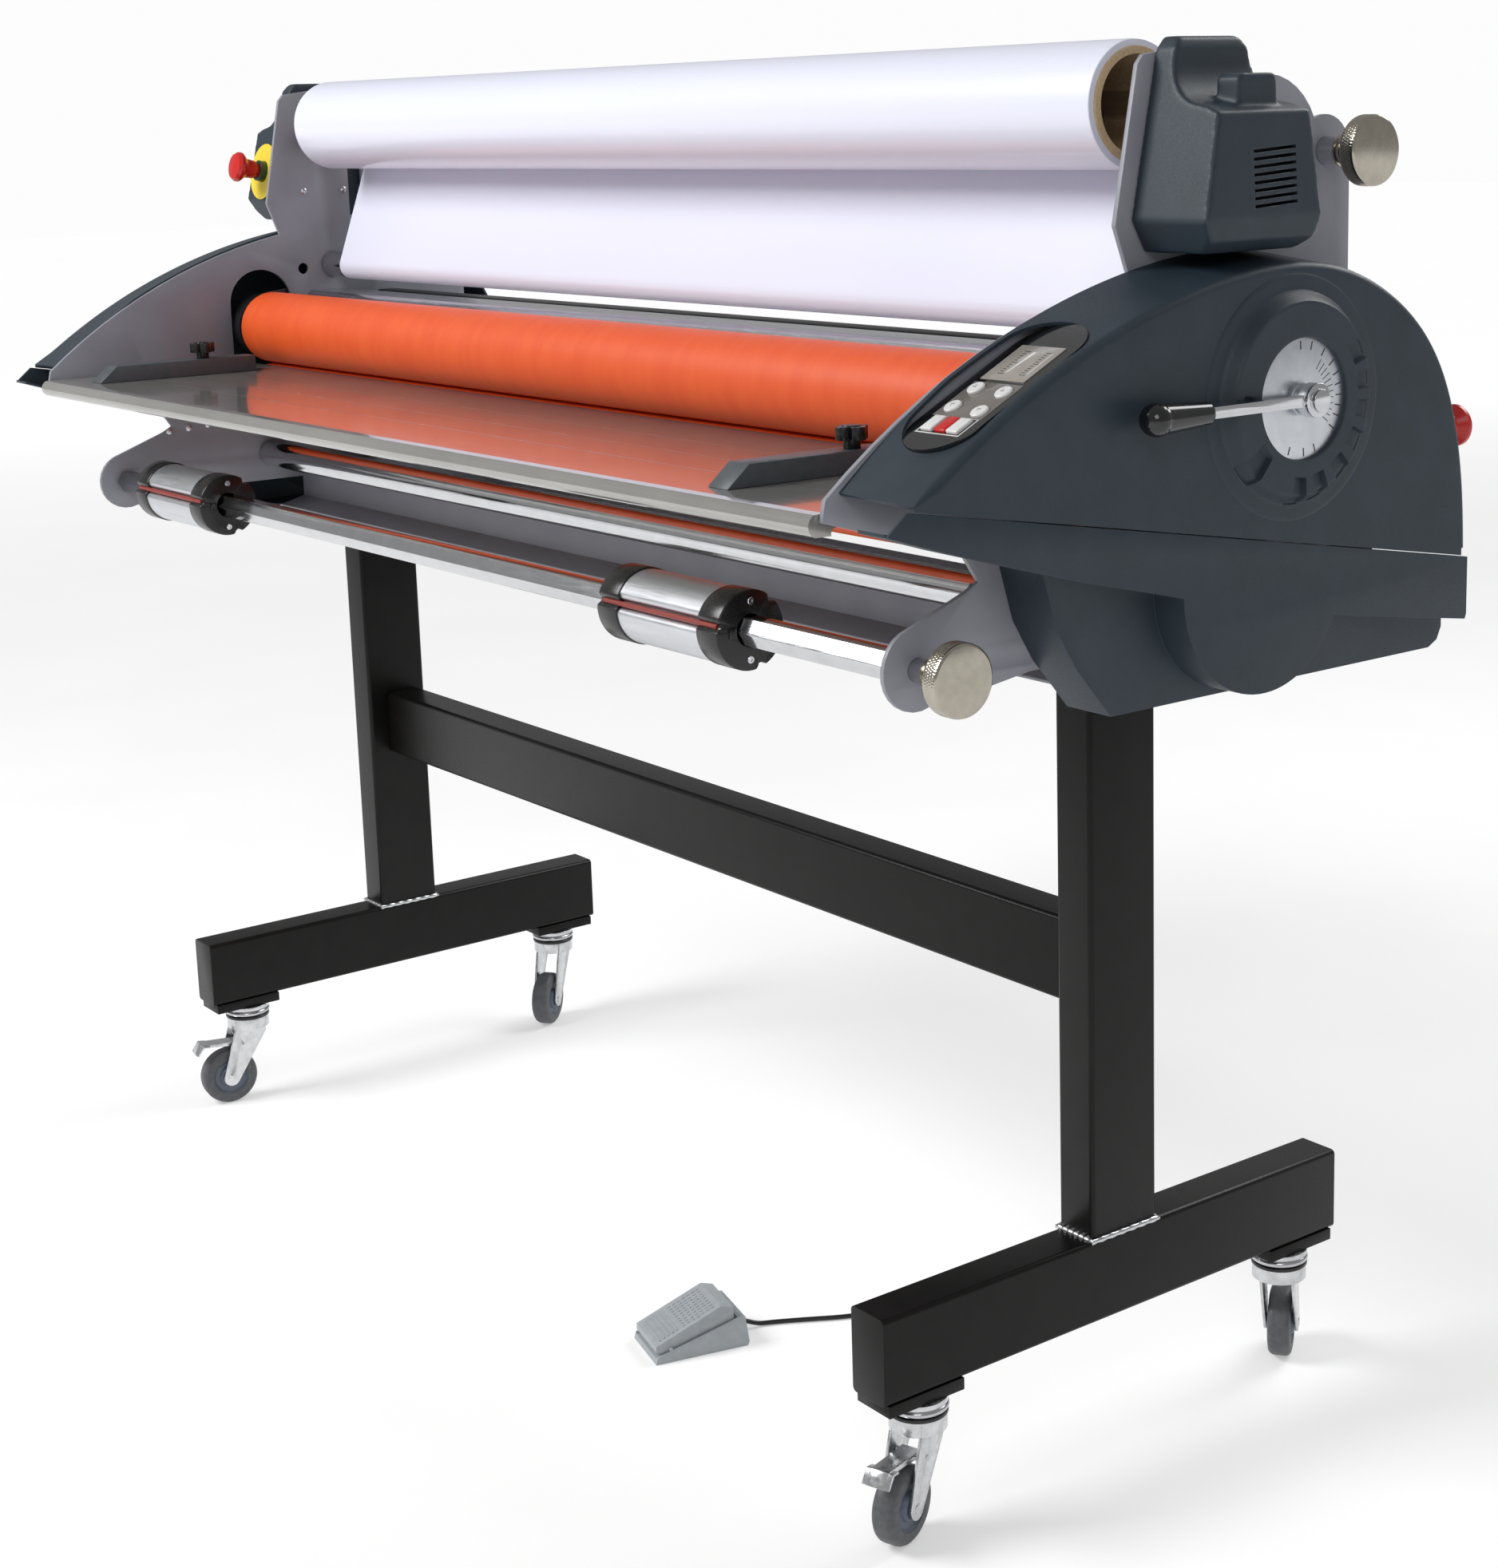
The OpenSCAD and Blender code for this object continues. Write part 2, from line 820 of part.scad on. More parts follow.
module film_roll() {
    core_r = 51;
    color([0.80, 0.74, 0.64])
        turned(supply_axis)
            polygon([[hub_r, -film_w / 2], [core_r, -film_w / 2], [core_r, film_w / 2], [hub_r, film_w / 2]]);
    color([0.96, 0.96, 0.98])
        turned(supply_axis)
            polygon([[core_r, -film_w / 2 + 2], [film_r, -film_w / 2 + 2], [film_r, film_w / 2 - 2],
                     [core_r, film_w / 2 - 2]]);
}

// The film's path in (Y, Z), kept a distance d from the rolls it touches
function web_path(d) =
    let(r1 = film_r + d, r2 = idler_r + web_t + 2 * gap - d, r3 = rewind_r + web_t + 2 * gap - d,
        down = belt_normal(supply_axis, r1, rear_idler_axis, -r2, 1),
        up = belt_normal(rear_idler_axis, r2, rewind_axis, r3, -1))
    concat([supply_axis + r1 * dir(down)],
           arc(rear_idler_axis, r2, down + 180, up + 360, 14),
           [rewind_axis + r3 * dir(up)]);

module film_web() {
    half = film_w / 2 - 6;
    near = web_path(gap);
    far = web_path(gap + web_t);
    n = len(near) - 1;
    color([0.93, 0.94, 0.98])
        slab(-half, half)
            polygon(concat(near, [for (i = [n:-1:0]) far[i]]));
}

module knob_profile(x0) {
    polygon([[0, x0], [14, x0], [14, x0 + 14], [19, x0 + 22], [31, x0 + 24], [32, x0 + 26], [32, x0 + 38],
             [30, x0 + 41], [0, x0 + 41]]);
}

module rewind_shaft() {
    color([0.72, 0.71, 0.68]) {
        bar(rewind_axis, journal_r, -back_x - 6, back_x + 20);
        turned(rewind_axis)
            knob_profile(back_x + 20);
    }
    color([0.80, 0.74, 0.64])
        difference() {
            bar(rewind_axis, rewind_r, -film_w / 2, film_w / 2);
            bar(rewind_axis, journal_r, -film_w / 2 - 1, film_w / 2 + 1);
        }
}

hex_r = 15;

module takeup_shaft() {
    color([0.82, 0.83, 0.85]) {
        translate([-plate_x + 4, takeup_axis.x, takeup_axis.y])
            rotate([0, 90, 0])
                cylinder(r = hex_r, h = inner_w - 8, $fn = 6);
        bar(takeup_axis, 10, -back_x - 14, -plate_x + 4);
        bar(takeup_axis, 10, plate_x - 4, back_x + 20);
        bar(takeup_axis, 18, -back_x - 8, -back_x - 1);
    }
    color([0.72, 0.71, 0.68])
        turned(takeup_axis)
            knob_profile(back_x + 20);
}

chuck_x = [-710, 395];          // left ends of the two chucks

module chuck(x) {
    end = 34;
    difference() {
        union() {
            color([0.85, 0.85, 0.86])
                bar(takeup_axis, chuck_r - 1, x + end, x + chuck_len - end);
            color([0.06, 0.06, 0.06]) {
                bar(takeup_axis, chuck_r, x, x + end);
                bar(takeup_axis, chuck_r, x + chuck_len - end, x + chuck_len);
            }
        }
        translate([x - 1, takeup_axis.x, takeup_axis.y])
            rotate([0, 90, 0])
                cylinder(r = hex_r + 0.4, h = chuck_len + 2, $fn = 6);
    }
}

// ---- controls ----

// Button positions on the panel, from its middle: across and up the slope
round_keys = [[-16, -8], [20, -10], [-16, -36], [20, -39]];
bar_keys = [-14, 3, 18];
bar_y = -61;

module control_panel() {
    color([0.06, 0.06, 0.07])
        at_panel(0, 0, -3)
            linear_extrude(3)
                difference() {
                    panel_outline();
                    for (k = round_keys)
                        translate(k)
                            circle(r = 8 + gap);
                    for (x = bar_keys)
                        translate([x, bar_y])
                            bar_key_outline(gap);
                }
}

module bar_key_outline(grow = 0) {
    square([14 + 2 * grow, 20 + 2 * grow], center = true);
}

module round_key(i) {
    color([0.88, 0.88, 0.88])
        at_panel(round_keys[i].x, round_keys[i].y, -3 + key_travel + 0.4)
            rotate_extrude()
                polygon([[0, 0], [8, 0], [8, 3.2], [7, 4.2], [0, 4.8]]);
}

module bar_key(i, paint) {
    color(paint)
        at_panel(bar_keys[i], bar_y, -3 + key_travel + 0.4)
            linear_extrude(4.2)
                bar_key_outline();
}

module at_left_stop() {
    translate(left_stop_at)
        rotate([90 - head_lean, 0, 0])
            children();
}

module at_right_stop() {
    translate(right_stop_at)
        rotate([-90, 0, 0])
            children();
}

module mushroom() {
    color([0.80, 0.10, 0.09])
        translate([0, 0, 17])
            rotate_extrude()
                polygon([[0, -9], [9, -9], [9, 0], [12, 0], [13, 12], [20, 20], [20, 24], [17, 28], [0, 30]]);
}

module stop_collar() {
    difference() {
        union() {
            cylinder(r = 14, h = 11);
            translate([0, 0, -10])
                cylinder(r = 11.5, h = 11);
        }
        translate([0, 0, -3])
            cylinder(r = 9 + gap, h = 20);
    }
}

module stop_plate() {
    difference() {
        cylinder(r = 38, h = 1.5);
        translate([0, 0, -1])
            cylinder(r = 14, h = 4);
    }
}

module stop_bases() {
    color([0.10, 0.14, 0.10]) {
        at_left_stop()
            translate([0, 0, 0.2])
                stop_collar();
        at_right_stop()
            translate([0, 0, 0.2])
                stop_collar();
    }
    color([0.92, 0.80, 0.20])
        at_left_stop()
            translate([0, 0, 0.3])
                stop_plate();
}

// ---- media guides ----

guide_y = [-383, -168];
guide_w = 30;
guide_h = 20;
guide_left = [-750, 633];       // left edges of the two guides
knob_y = -235;

// Flat bar with a sloping nose, lying on the table; x is its left edge
module guide(x) {
    low = table_z + gap;
    color([0.27, 0.29, 0.30])
        difference() {
            slab(x, x + guide_w)
                polygon([[guide_y[0], low], [guide_y[0] + 24, low + guide_h], [guide_y[1], low + guide_h],
                         [guide_y[1], low]]);
            translate([x + guide_w / 2, knob_y, low - 1])
                cylinder(r = 4 + fit, h = guide_h + 2);
        }
}

// Four-lobed knob on the clamp screw of the guide whose left edge is at x
module guide_knob(x) {
    low = table_z + guide_h + 2 * gap;
    color([0.04, 0.04, 0.04])
        translate([x + guide_w / 2, knob_y, 0]) {
            translate([0, 0, table_z + 1])
                cylinder(r = 4, h = guide_h + 4);
            translate([0, 0, low])
                cylinder(r = 8, h = 10);
            for (t = [0:90:270])
                rotate([0, 0, t])
                    translate([9, 0, low + 8])
                        cylinder(r = 7.5, h = 12);
            translate([0, 0, low + 8])
                cylinder(r = 9, h = 13);
        }
}

// ---- foot switch ----

pedal_len = 108;
pedal_pin = [-34, 14];          // treadle pivot: along the pedal, and up

module at_pedal() {
    translate(pedal_at)
        rotate([0, 0, pedal_turn])
            children();
}

module pedal_side() {
    polygon([[-52, 0], [54, 0], [56, 4], [52, 34], [44, 34], [-50, 8]]);
}

module pedal_base() {
    color([0.62, 0.65, 0.67])
        at_pedal()
            difference() {
                translate([-36, 0, 0])
                    rotate([90, 0, 90])
                        linear_extrude(72)
                            pedal_side();
                translate([-33, 0, 0])
                    rotate([90, 0, 90])
                        linear_extrude(66)
                            polygon([[-56, 6], [44, 6], [44, 60], [-56, 60]]);
                translate([-40, pedal_pin.x, pedal_pin.y])
                    rotate([0, 90, 0])
                        cylinder(r = 2 + fit, h = 80);
                translate([-0.5, 40, 14.8])
                    rotate([-90, 0, 0])
                        cylinder(r = cord_r + 1, h = 20);
            }
}

module pedal_treadle() {
    color([0.68, 0.71, 0.73])
        at_pedal() {
            translate([-32, 0, 0])
                rotate([90, 0, 90])
                    linear_extrude(64)
                        polygon([[-50, 12], [-44, 8.5], [40, 29.5], [40, 46], [26, 50], [-50, 19]]);
            translate([-36, pedal_pin.x, pedal_pin.y])
                rotate([0, 90, 0])
                    cylinder(r = 2, h = 72);
        }
}

// Route of the foot switch's cord: out of the pedal, over the floor, up to the rear panel
cord_end = [285, -157.5, 15];
cord_route = [
    cord_end, [288, -146, 14.5], [291, -134, 9], [295, -121, 4], [302, -105, 3], [313, -86, 3],
    [326, -65, 3], [340, -42, 3], [353, -15, 3], [366, 18, 3], [380, 60, 3], [395, 110, 3],
    [398, 165, 3], [386, 220, 3], [366, 268, 3], [352, 310, 3], [356, 345, 4], [374, 364, 14],
    [390, 362, 34], [398, 346, 66], [401, 330, 120], [402, 322, 200], [402, 318, 320],
    [402, 315, 440], [402, 312, 560], [402, 308, 680], [401, 302, 770], [400, 292, 828],
    [400, 281, 866], [400, 270, 888], [400, 260, 897], [400, 250, 900]];

function cord_dir(i) =
    let(n = len(cord_route) - 1)
    unit(cord_route[min(i + 1, n)] - cord_route[max(i - 1, 0)]);

function cord_ring(i, sides) =
    let(p = cord_route[i], d = i == 0 ? [0.24, 0.97, 0] : i == len(cord_route) - 1 ? [0, -1, 0] : cord_dir(i),
        u = unit(cross(d, [1, 0, 0])), v = cross(u, d))
    [for (j = [0:sides - 1]) p + cord_r * (cos(360 * j / sides) * u + sin(360 * j / sides) * v)];

module pedal_cord() {
    color([0.04, 0.04, 0.05])
        skin([for (i = [0:len(cord_route) - 1]) cord_ring(i, 8)]);
}

// Foot-switch gland and mains inlet on the rear panel
module rear_sockets() {
    color([0.07, 0.07, 0.07]) {
        translate([400, 228, 900])
            rotate([-90, 0, 0]) {
                cylinder(r = 11, h = 5, $fn = 6);
                cylinder(r = 8, h = 10);
                cylinder(r1 = 6.5, r2 = 4.2, h = 22);
            }
        difference() {
            union() {
                translate(inlet_at - [inlet.x / 2, 22, inlet.y / 2])
                    cube([inlet.x, 25, inlet.y]);
                translate(inlet_at - [inlet.x / 2 + 7, 0, inlet.y / 2 + 5])
                    cube([inlet.x + 14, 3, inlet.y + 10]);
            }
            translate(inlet_at - [inlet.x / 2 - 4, 16, inlet.y / 2 - 4])
                cube([inlet.x - 8, 20, inlet.y - 8]);
        }
    }
}

// ---- drawing ----

stand_feet();
stand_uprights();
stand_crossbar();
caster_fork(0);  // caster_fork_front_left
caster_fork(1);  // caster_fork_front_right
caster_fork(2);  // caster_fork_rear_left
caster_fork(3);  // caster_fork_rear_right
caster_wheel(0);  // caster_wheel_front_left
caster_wheel(1);  // caster_wheel_front_right
caster_wheel(2);  // caster_wheel_rear_left
caster_wheel(3);  // caster_wheel_rear_right
caster_brake(0);  // caster_brake_left
caster_brake(1);  // caster_brake_right
side_plate(-1);  // left_side_plate
side_plate(1);  // right_side_plate
feed_tables();
cross_members();
side_cover(-1);  // left_side_cover
side_cover(1);  // right_side_cover
lower_cover(-1);  // left_lower_cover
lower_cover(1);  // right_lower_cover
head_cover(-1);  // left_head_cover
head_cover(1);  // right_head_cover
upper_roller_core();
upper_roller_sleeve();
lower_roller();
roller_carriages();
lower_bearings();
pressure_lever();
lever_grip();
idler(front_idler_axis);  // front_idler
idler(rear_idler_axis);  // rear_idler
supply_shaft();
film_roll();
film_web();
rewind_shaft();
takeup_shaft();
chuck(chuck_x[0]);  // left_chuck
chuck(chuck_x[1]);  // right_chuck
control_panel();
round_key(0);  // key_speed_up
round_key(1);  // key_mode_up
round_key(2);  // key_speed_down
round_key(3);  // key_mode_down
bar_key(0, [0.85, 0.85, 0.86]);  // key_reverse
bar_key(1, [0.80, 0.12, 0.08]);  // key_stop
bar_key(2, [0.85, 0.85, 0.86]);  // key_forward
at_left_stop() mushroom();  // left_stop_button
at_right_stop() mushroom();  // right_stop_button
stop_bases();
guide(guide_left[0]);  // left_guide
guide(guide_left[1]);  // right_guide
guide_knob(guide_left[0]);  // left_guide_knob
guide_knob(guide_left[1]);  // right_guide_knob
pedal_base();
pedal_treadle();
pedal_cord();
rear_sockets();
gearmotor();
drive_gear();
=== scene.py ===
# %% [markdown]
# # A wide cold roll laminator
# The machine presses film onto prints between two rubber rollers. Its frame, shafts and everything that
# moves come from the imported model, in metres. This script gives each part its finish, and it rebuilds the
# moulded, knurled and engraved pieces whose shape is softer or finer than the frame's.

# %% Load the frame
import bpy
import json
import math
import numpy as np
import bmesh
from mathutils import Matrix, Vector

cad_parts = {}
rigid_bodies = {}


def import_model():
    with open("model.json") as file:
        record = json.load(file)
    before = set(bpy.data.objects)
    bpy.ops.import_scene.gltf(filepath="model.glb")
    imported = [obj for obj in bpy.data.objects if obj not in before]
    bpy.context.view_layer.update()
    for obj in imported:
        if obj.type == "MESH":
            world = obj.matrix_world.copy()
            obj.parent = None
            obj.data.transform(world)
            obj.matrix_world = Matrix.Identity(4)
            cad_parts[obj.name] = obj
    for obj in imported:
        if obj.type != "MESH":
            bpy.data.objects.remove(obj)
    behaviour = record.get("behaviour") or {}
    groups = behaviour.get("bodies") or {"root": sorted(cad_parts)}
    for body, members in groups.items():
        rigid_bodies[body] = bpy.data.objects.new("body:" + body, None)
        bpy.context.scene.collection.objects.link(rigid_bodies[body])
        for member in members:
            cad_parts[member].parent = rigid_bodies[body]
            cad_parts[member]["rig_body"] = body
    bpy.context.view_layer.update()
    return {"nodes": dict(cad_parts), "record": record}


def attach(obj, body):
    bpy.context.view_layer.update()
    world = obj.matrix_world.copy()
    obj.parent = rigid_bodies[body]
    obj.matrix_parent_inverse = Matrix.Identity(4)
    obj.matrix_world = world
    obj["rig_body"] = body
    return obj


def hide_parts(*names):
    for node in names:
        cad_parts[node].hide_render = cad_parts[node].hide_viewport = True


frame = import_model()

nodes = frame["nodes"]
MM = 0.001

# %% [markdown]
# ## Camera
# The machine is seen from its right front corner, from a little above the table, through a long lens. A
# camera can be aimed with three angles or with a tracking constraint. Here three unit vectors are worked
# out, back, right and up, because the small roll about the line of sight is then one turn of two of them.

# %% Camera
AZIMUTH, ELEVATION, ROLL = (math.radians(angle) for angle in (52.8718, 11.3903, -1.5528))
EYE = Vector((2.4705, -1.64872, 1.31408))
LENS_MM, SENSOR_MM = 59.5362, 36.0
SHIFT_X, SHIFT_Y = -0.049603, -0.096283
FAR_CLIP = 50.0


def put(name, data):
    """Adds an object to the scene, at the origin and unturned."""
    made = bpy.data.objects.new(name, data)
    bpy.context.scene.collection.objects.link(made)
    return made


back = Vector((math.sin(AZIMUTH) * math.cos(ELEVATION), -math.cos(AZIMUTH) * math.cos(ELEVATION),
               math.sin(ELEVATION)))
level_right = (-back).cross(Vector((0, 0, 1))).normalized()
level_up = level_right.cross(-back)
right = math.cos(ROLL) * level_right + math.sin(ROLL) * level_up
up = -math.sin(ROLL) * level_right + math.cos(ROLL) * level_up

camera_data = bpy.data.cameras.new("camera")
camera_data.sensor_width = SENSOR_MM
camera_data.lens = LENS_MM
camera_data.shift_x = SHIFT_X
camera_data.shift_y = SHIFT_Y
camera_data.clip_end = FAR_CLIP
camera = put("camera", camera_data)
camera.matrix_world = Matrix((
    (right.x, up.x, back.x, EYE.x),
    (right.y, up.y, back.y, EYE.y),
    (right.z, up.z, back.z, EYE.z),
    (0, 0, 0, 1)))
bpy.context.scene.camera = camera
print("lens", LENS_MM, "mm, shift", SHIFT_X, SHIFT_Y)

# %% [markdown]
# ## Foot switch cord
# A thin flexible lead leaves the foot switch, crosses the floor behind the right leg and climbs to a gland
# on the rear panel. It could be a Bezier curve with a bevel. A Catmull-Rom line through listed points is
# used instead, with a tube of rings round it, because the line passes through each point, its length can be
# measured, and the tube's outside is exact when the object's box is taken.

# %% Cord
CORD_D = 5.2 * MM
CORD_ROUTE = MM * np.array([
    [285, -157.5, 15], [288, -146, 14.5], [291, -134, 9], [295, -121, 4], [302, -105, 3], [313, -86, 3],
    [326, -65, 3], [340, -42, 3], [353, -15, 3], [366, 18, 3], [380, 60, 3], [395, 110, 3],
    [398, 165, 3], [386, 220, 3], [366, 268, 3], [352, 310, 3], [356, 345, 4], [374, 364, 14],
    [390, 362, 34], [398, 346, 66], [401, 330, 120], [402, 322, 200], [402, 318, 320],
    [402, 315, 440], [402, 312, 560], [402, 308, 680], [401, 302, 770], [400, 292, 828],
    [400, 281, 866], [400, 270, 888], [400, 260, 897], [400, 250, 900]])


def smooth_line(points, steps=6):
    """Catmull-Rom: at each point the curve runs parallel to the line between the points beside it."""
    p = np.vstack([2 * points[0] - points[1], points, 2 * points[-1] - points[-2]])
    t = np.linspace(0, 1, steps, endpoint=False)[None, :, None]
    a, b, c, d = (p[i:len(p) - 3 + i, None, :] for i in range(4))
    curve = 0.5 * (2 * b + (c - a) * t + (2 * a - 5 * b + 4 * c - d) * t ** 2
                   + (3 * b - a - 3 * c + d) * t ** 3)
    return np.vstack([curve.reshape(-1, 3), points[-1:]])


cord_line = smooth_line(CORD_ROUTE[::-1])


def tube(line, radius, sides=12):
    """Rings square to the line: each point is the line plus radius times cos and sin of two side vectors."""
    ahead = np.gradient(line, axis=0)
    ahead /= np.linalg.norm(ahead, axis=1)[:, None]
    side = np.cross(ahead, [1.0, 0, 0])
    side /= np.linalg.norm(side, axis=1)[:, None]
    other = np.cross(ahead, side)
    t = np.linspace(0, 2 * np.pi, sides, endpoint=False)[None, :, None]
    rings = line[:, None, :] + radius * (np.cos(t) * side[:, None, :] + np.sin(t) * other[:, None, :])
    start = np.arange(len(line) - 1)[:, None] * sides
    turn, turn_on = np.arange(sides), (np.arange(sides) + 1) % sides
    walls = np.stack([start + turn, start + turn_on, start + sides + turn_on, start + sides + turn], -1)
    last = (len(line) - 1) * sides
    caps = [list(range(sides - 1, -1, -1)), list(range(last, last + sides))]
    return rings.reshape(-1, 3), walls.reshape(-1, 4).tolist() + caps


cord_data = bpy.data.meshes.new("foot_switch_cord")
cord_points, cord_faces = tube(cord_line, CORD_D / 2)
cord_data.from_pydata(cord_points.tolist(), [], cord_faces)
cord_data.polygons.foreach_set("use_smooth", [len(f) == 4 for f in cord_faces])
cord = put("foot_switch_cord", cord_data)
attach(cord, "machine")
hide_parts("pedal_cord")

# %% [markdown]
# ## Room
# The machine stands on a pale floor under large soft lights, so that gloss shows as wide gentle highlights.
# A curved backdrop would hide the horizon from one side only. So the floor is one large flat
# sheet, and a faint glow that grows with distance brings it up to the tone of the surroundings. Those are
# dimmer as light than as a background, because at full strength they would wash out the dark covers.

# %% Floor and lights
FLOOR_HALF = 30.0
WORLD_AS_LIGHT, WORLD_AS_SEEN = 0.36, 0.98

floor_data = bpy.data.meshes.new("floor")
floor_data.from_pydata([(x * FLOOR_HALF, y * FLOOR_HALF, 0) for x, y in ((-1, -1), (1, -1), (1, 1), (-1, 1))],
                       [], [(0, 1, 2, 3)])
floor = put("floor", floor_data)

world = bpy.data.worlds.new("studio")
bpy.context.scene.world = world
world.use_nodes = True
background = world.node_tree.nodes["Background"]
background.inputs["Color"].default_value = (1, 1, 1, 1)
ray = world.node_tree.nodes.new("ShaderNodeLightPath")
strength = world.node_tree.nodes.new("ShaderNodeMapRange")
strength.inputs["To Min"].default_value = WORLD_AS_LIGHT
strength.inputs["To Max"].default_value = WORLD_AS_SEEN
world.node_tree.links.new(ray.outputs["Is Camera Ray"], strength.inputs["Value"])
world.node_tree.links.new(strength.outputs["Result"], background.inputs["Strength"])
bpy.context.scene.view_settings.view_transform = "Standard"


def soft_light(name, place, aim, size, watts):
    """A square area light at place, turned so that its face looks at aim."""
    data = bpy.data.lights.new(name, "AREA")
    data.size = size
    data.energy = watts
    light = put(name, data)
    light.location = place
    light.rotation_euler = (Vector(aim) - Vector(place)).to_track_quat("-Z", "Y").to_euler()


soft_light("key", (-1.5, -3.2, 3.6), (0, 0, 0.9), 2.0, 165)
soft_light("side", (3.6, -2.6, 3.0), (0.8, 0, 0.9), 1.6, 26)
soft_light("rim", (0.5, 3.0, 3.2), (0, 0, 1.1), 2.0, 70)
print("three soft lights")

# %% [markdown]
# ## Finishes
# Every material starts from a real one. Each could be an image texture, but noise on Object coordinates
# needs no unwrapping and keeps its size in millimetres on every piece. A slow noise drifts the colour
# between two tones, and a fine one gives the grain its bump and its uneven roughness. Grains finer than
# about half a millimetre would not show, so that the finest are drawn coarser than they really are.

# %% Material helpers


def colour(hex_code):
    """sRGB hex such as "c86432" to linear RGBA: the standard curve, undone channel by channel."""
    c = np.array([int(hex_code[i:i + 2], 16) / 255 for i in (0, 2, 4)])
    linear = np.where(c <= 0.04045, c / 12.92, ((c + 0.055) / 1.055) ** 2.4)
    return (*linear.tolist(), 1.0)


def add(material, kind, links=None, **settings):
    """Adds one node. links maps an input to a value or to another node's output; settings are properties."""
    node = material.node_tree.nodes.new(kind)
    for key, value in settings.items():
        setattr(node, key, value)
    for key, value in (links or {}).items():
        if isinstance(value, bpy.types.NodeSocket):
            material.node_tree.links.new(value, node.inputs[key])
        else:
            node.inputs[key].default_value = value
    return node


def surface(name, **values):
    """A new material: one Principled shader with the given plain values."""
    material = bpy.data.materials.new(name)
    material.use_nodes = True
    shader = material.node_tree.nodes["Principled BSDF"]
    for key, value in values.items():
        shader.inputs[key.replace("_", " ").title().replace("Ior", "IOR")].default_value = value
    return material


def pattern(material, size_mm, stretch, detail):
    """Noise on Object coordinates whose features are about size_mm across, longer where stretch is small."""
    place = add(material, "ShaderNodeTexCoord")
    scaled = add(material, "ShaderNodeMapping", {"Vector": place.outputs["Object"], "Scale": stretch})
    settings = {"Vector": scaled.outputs["Vector"], "Scale": 1 / (size_mm * MM), "Detail": detail}
    return add(material, "ShaderNodeTexNoise", settings).outputs["Fac"]


def vary(material, tones, size_mm, amount, stretch=(1, 1, 1)):
    """Colour that drifts from the first tone towards the second by at most amount."""
    noise = pattern(material, size_mm, stretch, 3.0)
    share = add(material, "ShaderNodeMapRange",
                {"Value": noise, "From Min": 0.35, "From Max": 0.65, "To Min": 0.0, "To Max": amount})
    # Of a Mix node's sockets, 6 and 7 are the two colours, and output 2 is the mixed one.
    mixed = add(material, "ShaderNodeMix", {"Factor": share.outputs["Result"], 6: colour(tones[0]),
                                            7: colour(tones[1])}, data_type="RGBA")
    shader = material.node_tree.nodes["Principled BSDF"]
    material.node_tree.links.new(mixed.outputs[2], shader.inputs["Base Color"])


def grain(material, size_mm, height_mm, rough, stretch=(1, 1, 1)):
    """Grains size_mm across: bump height_mm high, and roughness that follows it between rough's limits."""
    noise = pattern(material, size_mm, stretch, 2.0)
    shader = material.node_tree.nodes["Principled BSDF"]
    bump = add(material, "ShaderNodeBump", {"Height": noise, "Distance": height_mm * MM, "Strength": 1.0})
    material.node_tree.links.new(bump.outputs["Normal"], shader.inputs["Normal"])
    spread = add(material, "ShaderNodeMapRange",
                 {"Value": noise, "From Min": 0.3, "From Max": 0.7, "To Min": rough[0], "To Max": rough[1]})
    material.node_tree.links.new(spread.outputs["Result"], shader.inputs["Roughness"])


def finished(name, tones, drift, grit, rough, drift_stretch=(1, 1, 1), grit_stretch=(1, 1, 1), **values):
    """A finish of two tones. drift holds their drift's size in mm and its share, grit the grain's size and
    height in mm, and rough the two limits of the roughness."""
    material = surface(name, **values)
    vary(material, tones, *drift, drift_stretch)
    grain(material, *grit, rough, grit_stretch)
    return material


print("material helpers ready")

# %% [markdown]
# ### Paints
# The steel frame and stand are powder coated. The coat is thick and flows a little before it sets, which
# leaves a faint unevenness, so that one noise gives the tone and a finer one gives the peel.

# %% Paints
# Powder coat on sheet steel: mid grey, with a faint orange peel that blurs reflections.
frame_paint = finished("grey_powder_coat", ("85868f", "8e8f97"), (60, 0.8), (2.5, 0.03), rough=(0.38, 0.5))

# Satin powder coat on tube: near black, with a narrow soft line of light along each edge.
stand_paint = finished("satin_black_powder_coat", ("0b0a09", "12100f"), (30, 0.8), (1.8, 0.04),
                       rough=(0.3, 0.42), specular_ior_level=0.22)

# Dark grey paint: low sheen, lighter than the stand.
guide_paint = finished("dark_grey_paint", ("4a5054", "41474b"), (12, 0.7), (1.2, 0.03), rough=(0.34, 0.48))

print("paints: 3 finishes")

# %% [markdown]
# ### Moulded plastics
# The covers, caps, pedal and buttons are moulded. Their gloss is that of the mould, so that each one
# has its own grain height and roughness and no metal in it.

# %% Moulded plastics
# Moulded ABS with a spark-eroded grain: dark blue grey, and light on it spreads wide and soft.
abs_cover = finished("textured_abs", ("212d36", "27333d"), (40, 0.7), (1.4, 0.05), rough=(0.42, 0.56),
                     specular_ior_level=0.4)

# Smooth black ABS: black, with a clear but blurred highlight.
black_abs = finished("black_moulded_abs", ("0c0c0d", "121213"), (10, 0.6), (1.0, 0.02), rough=(0.22, 0.36))

# Dark green moulded ABS: almost black, except where it catches the light.
green_collar = finished("dark_green_moulded_abs", ("1d3a2b", "173125"), (6, 0.6), (0.8, 0.02),
                        rough=(0.24, 0.38))

# Acetal push button: saturated red with a waxy highlight.
red_plastic = finished("red_acetal", ("c21a16", "b51512"), (12, 0.6), (0.8, 0.01), rough=(0.2, 0.34))

# White key caps: matt, so that their rounding shows as soft shading.
key_plastic = finished("white_key_plastic", ("d9d9d8", "cfcfce"), (6, 0.6), (0.6, 0.01), rough=(0.34, 0.46))

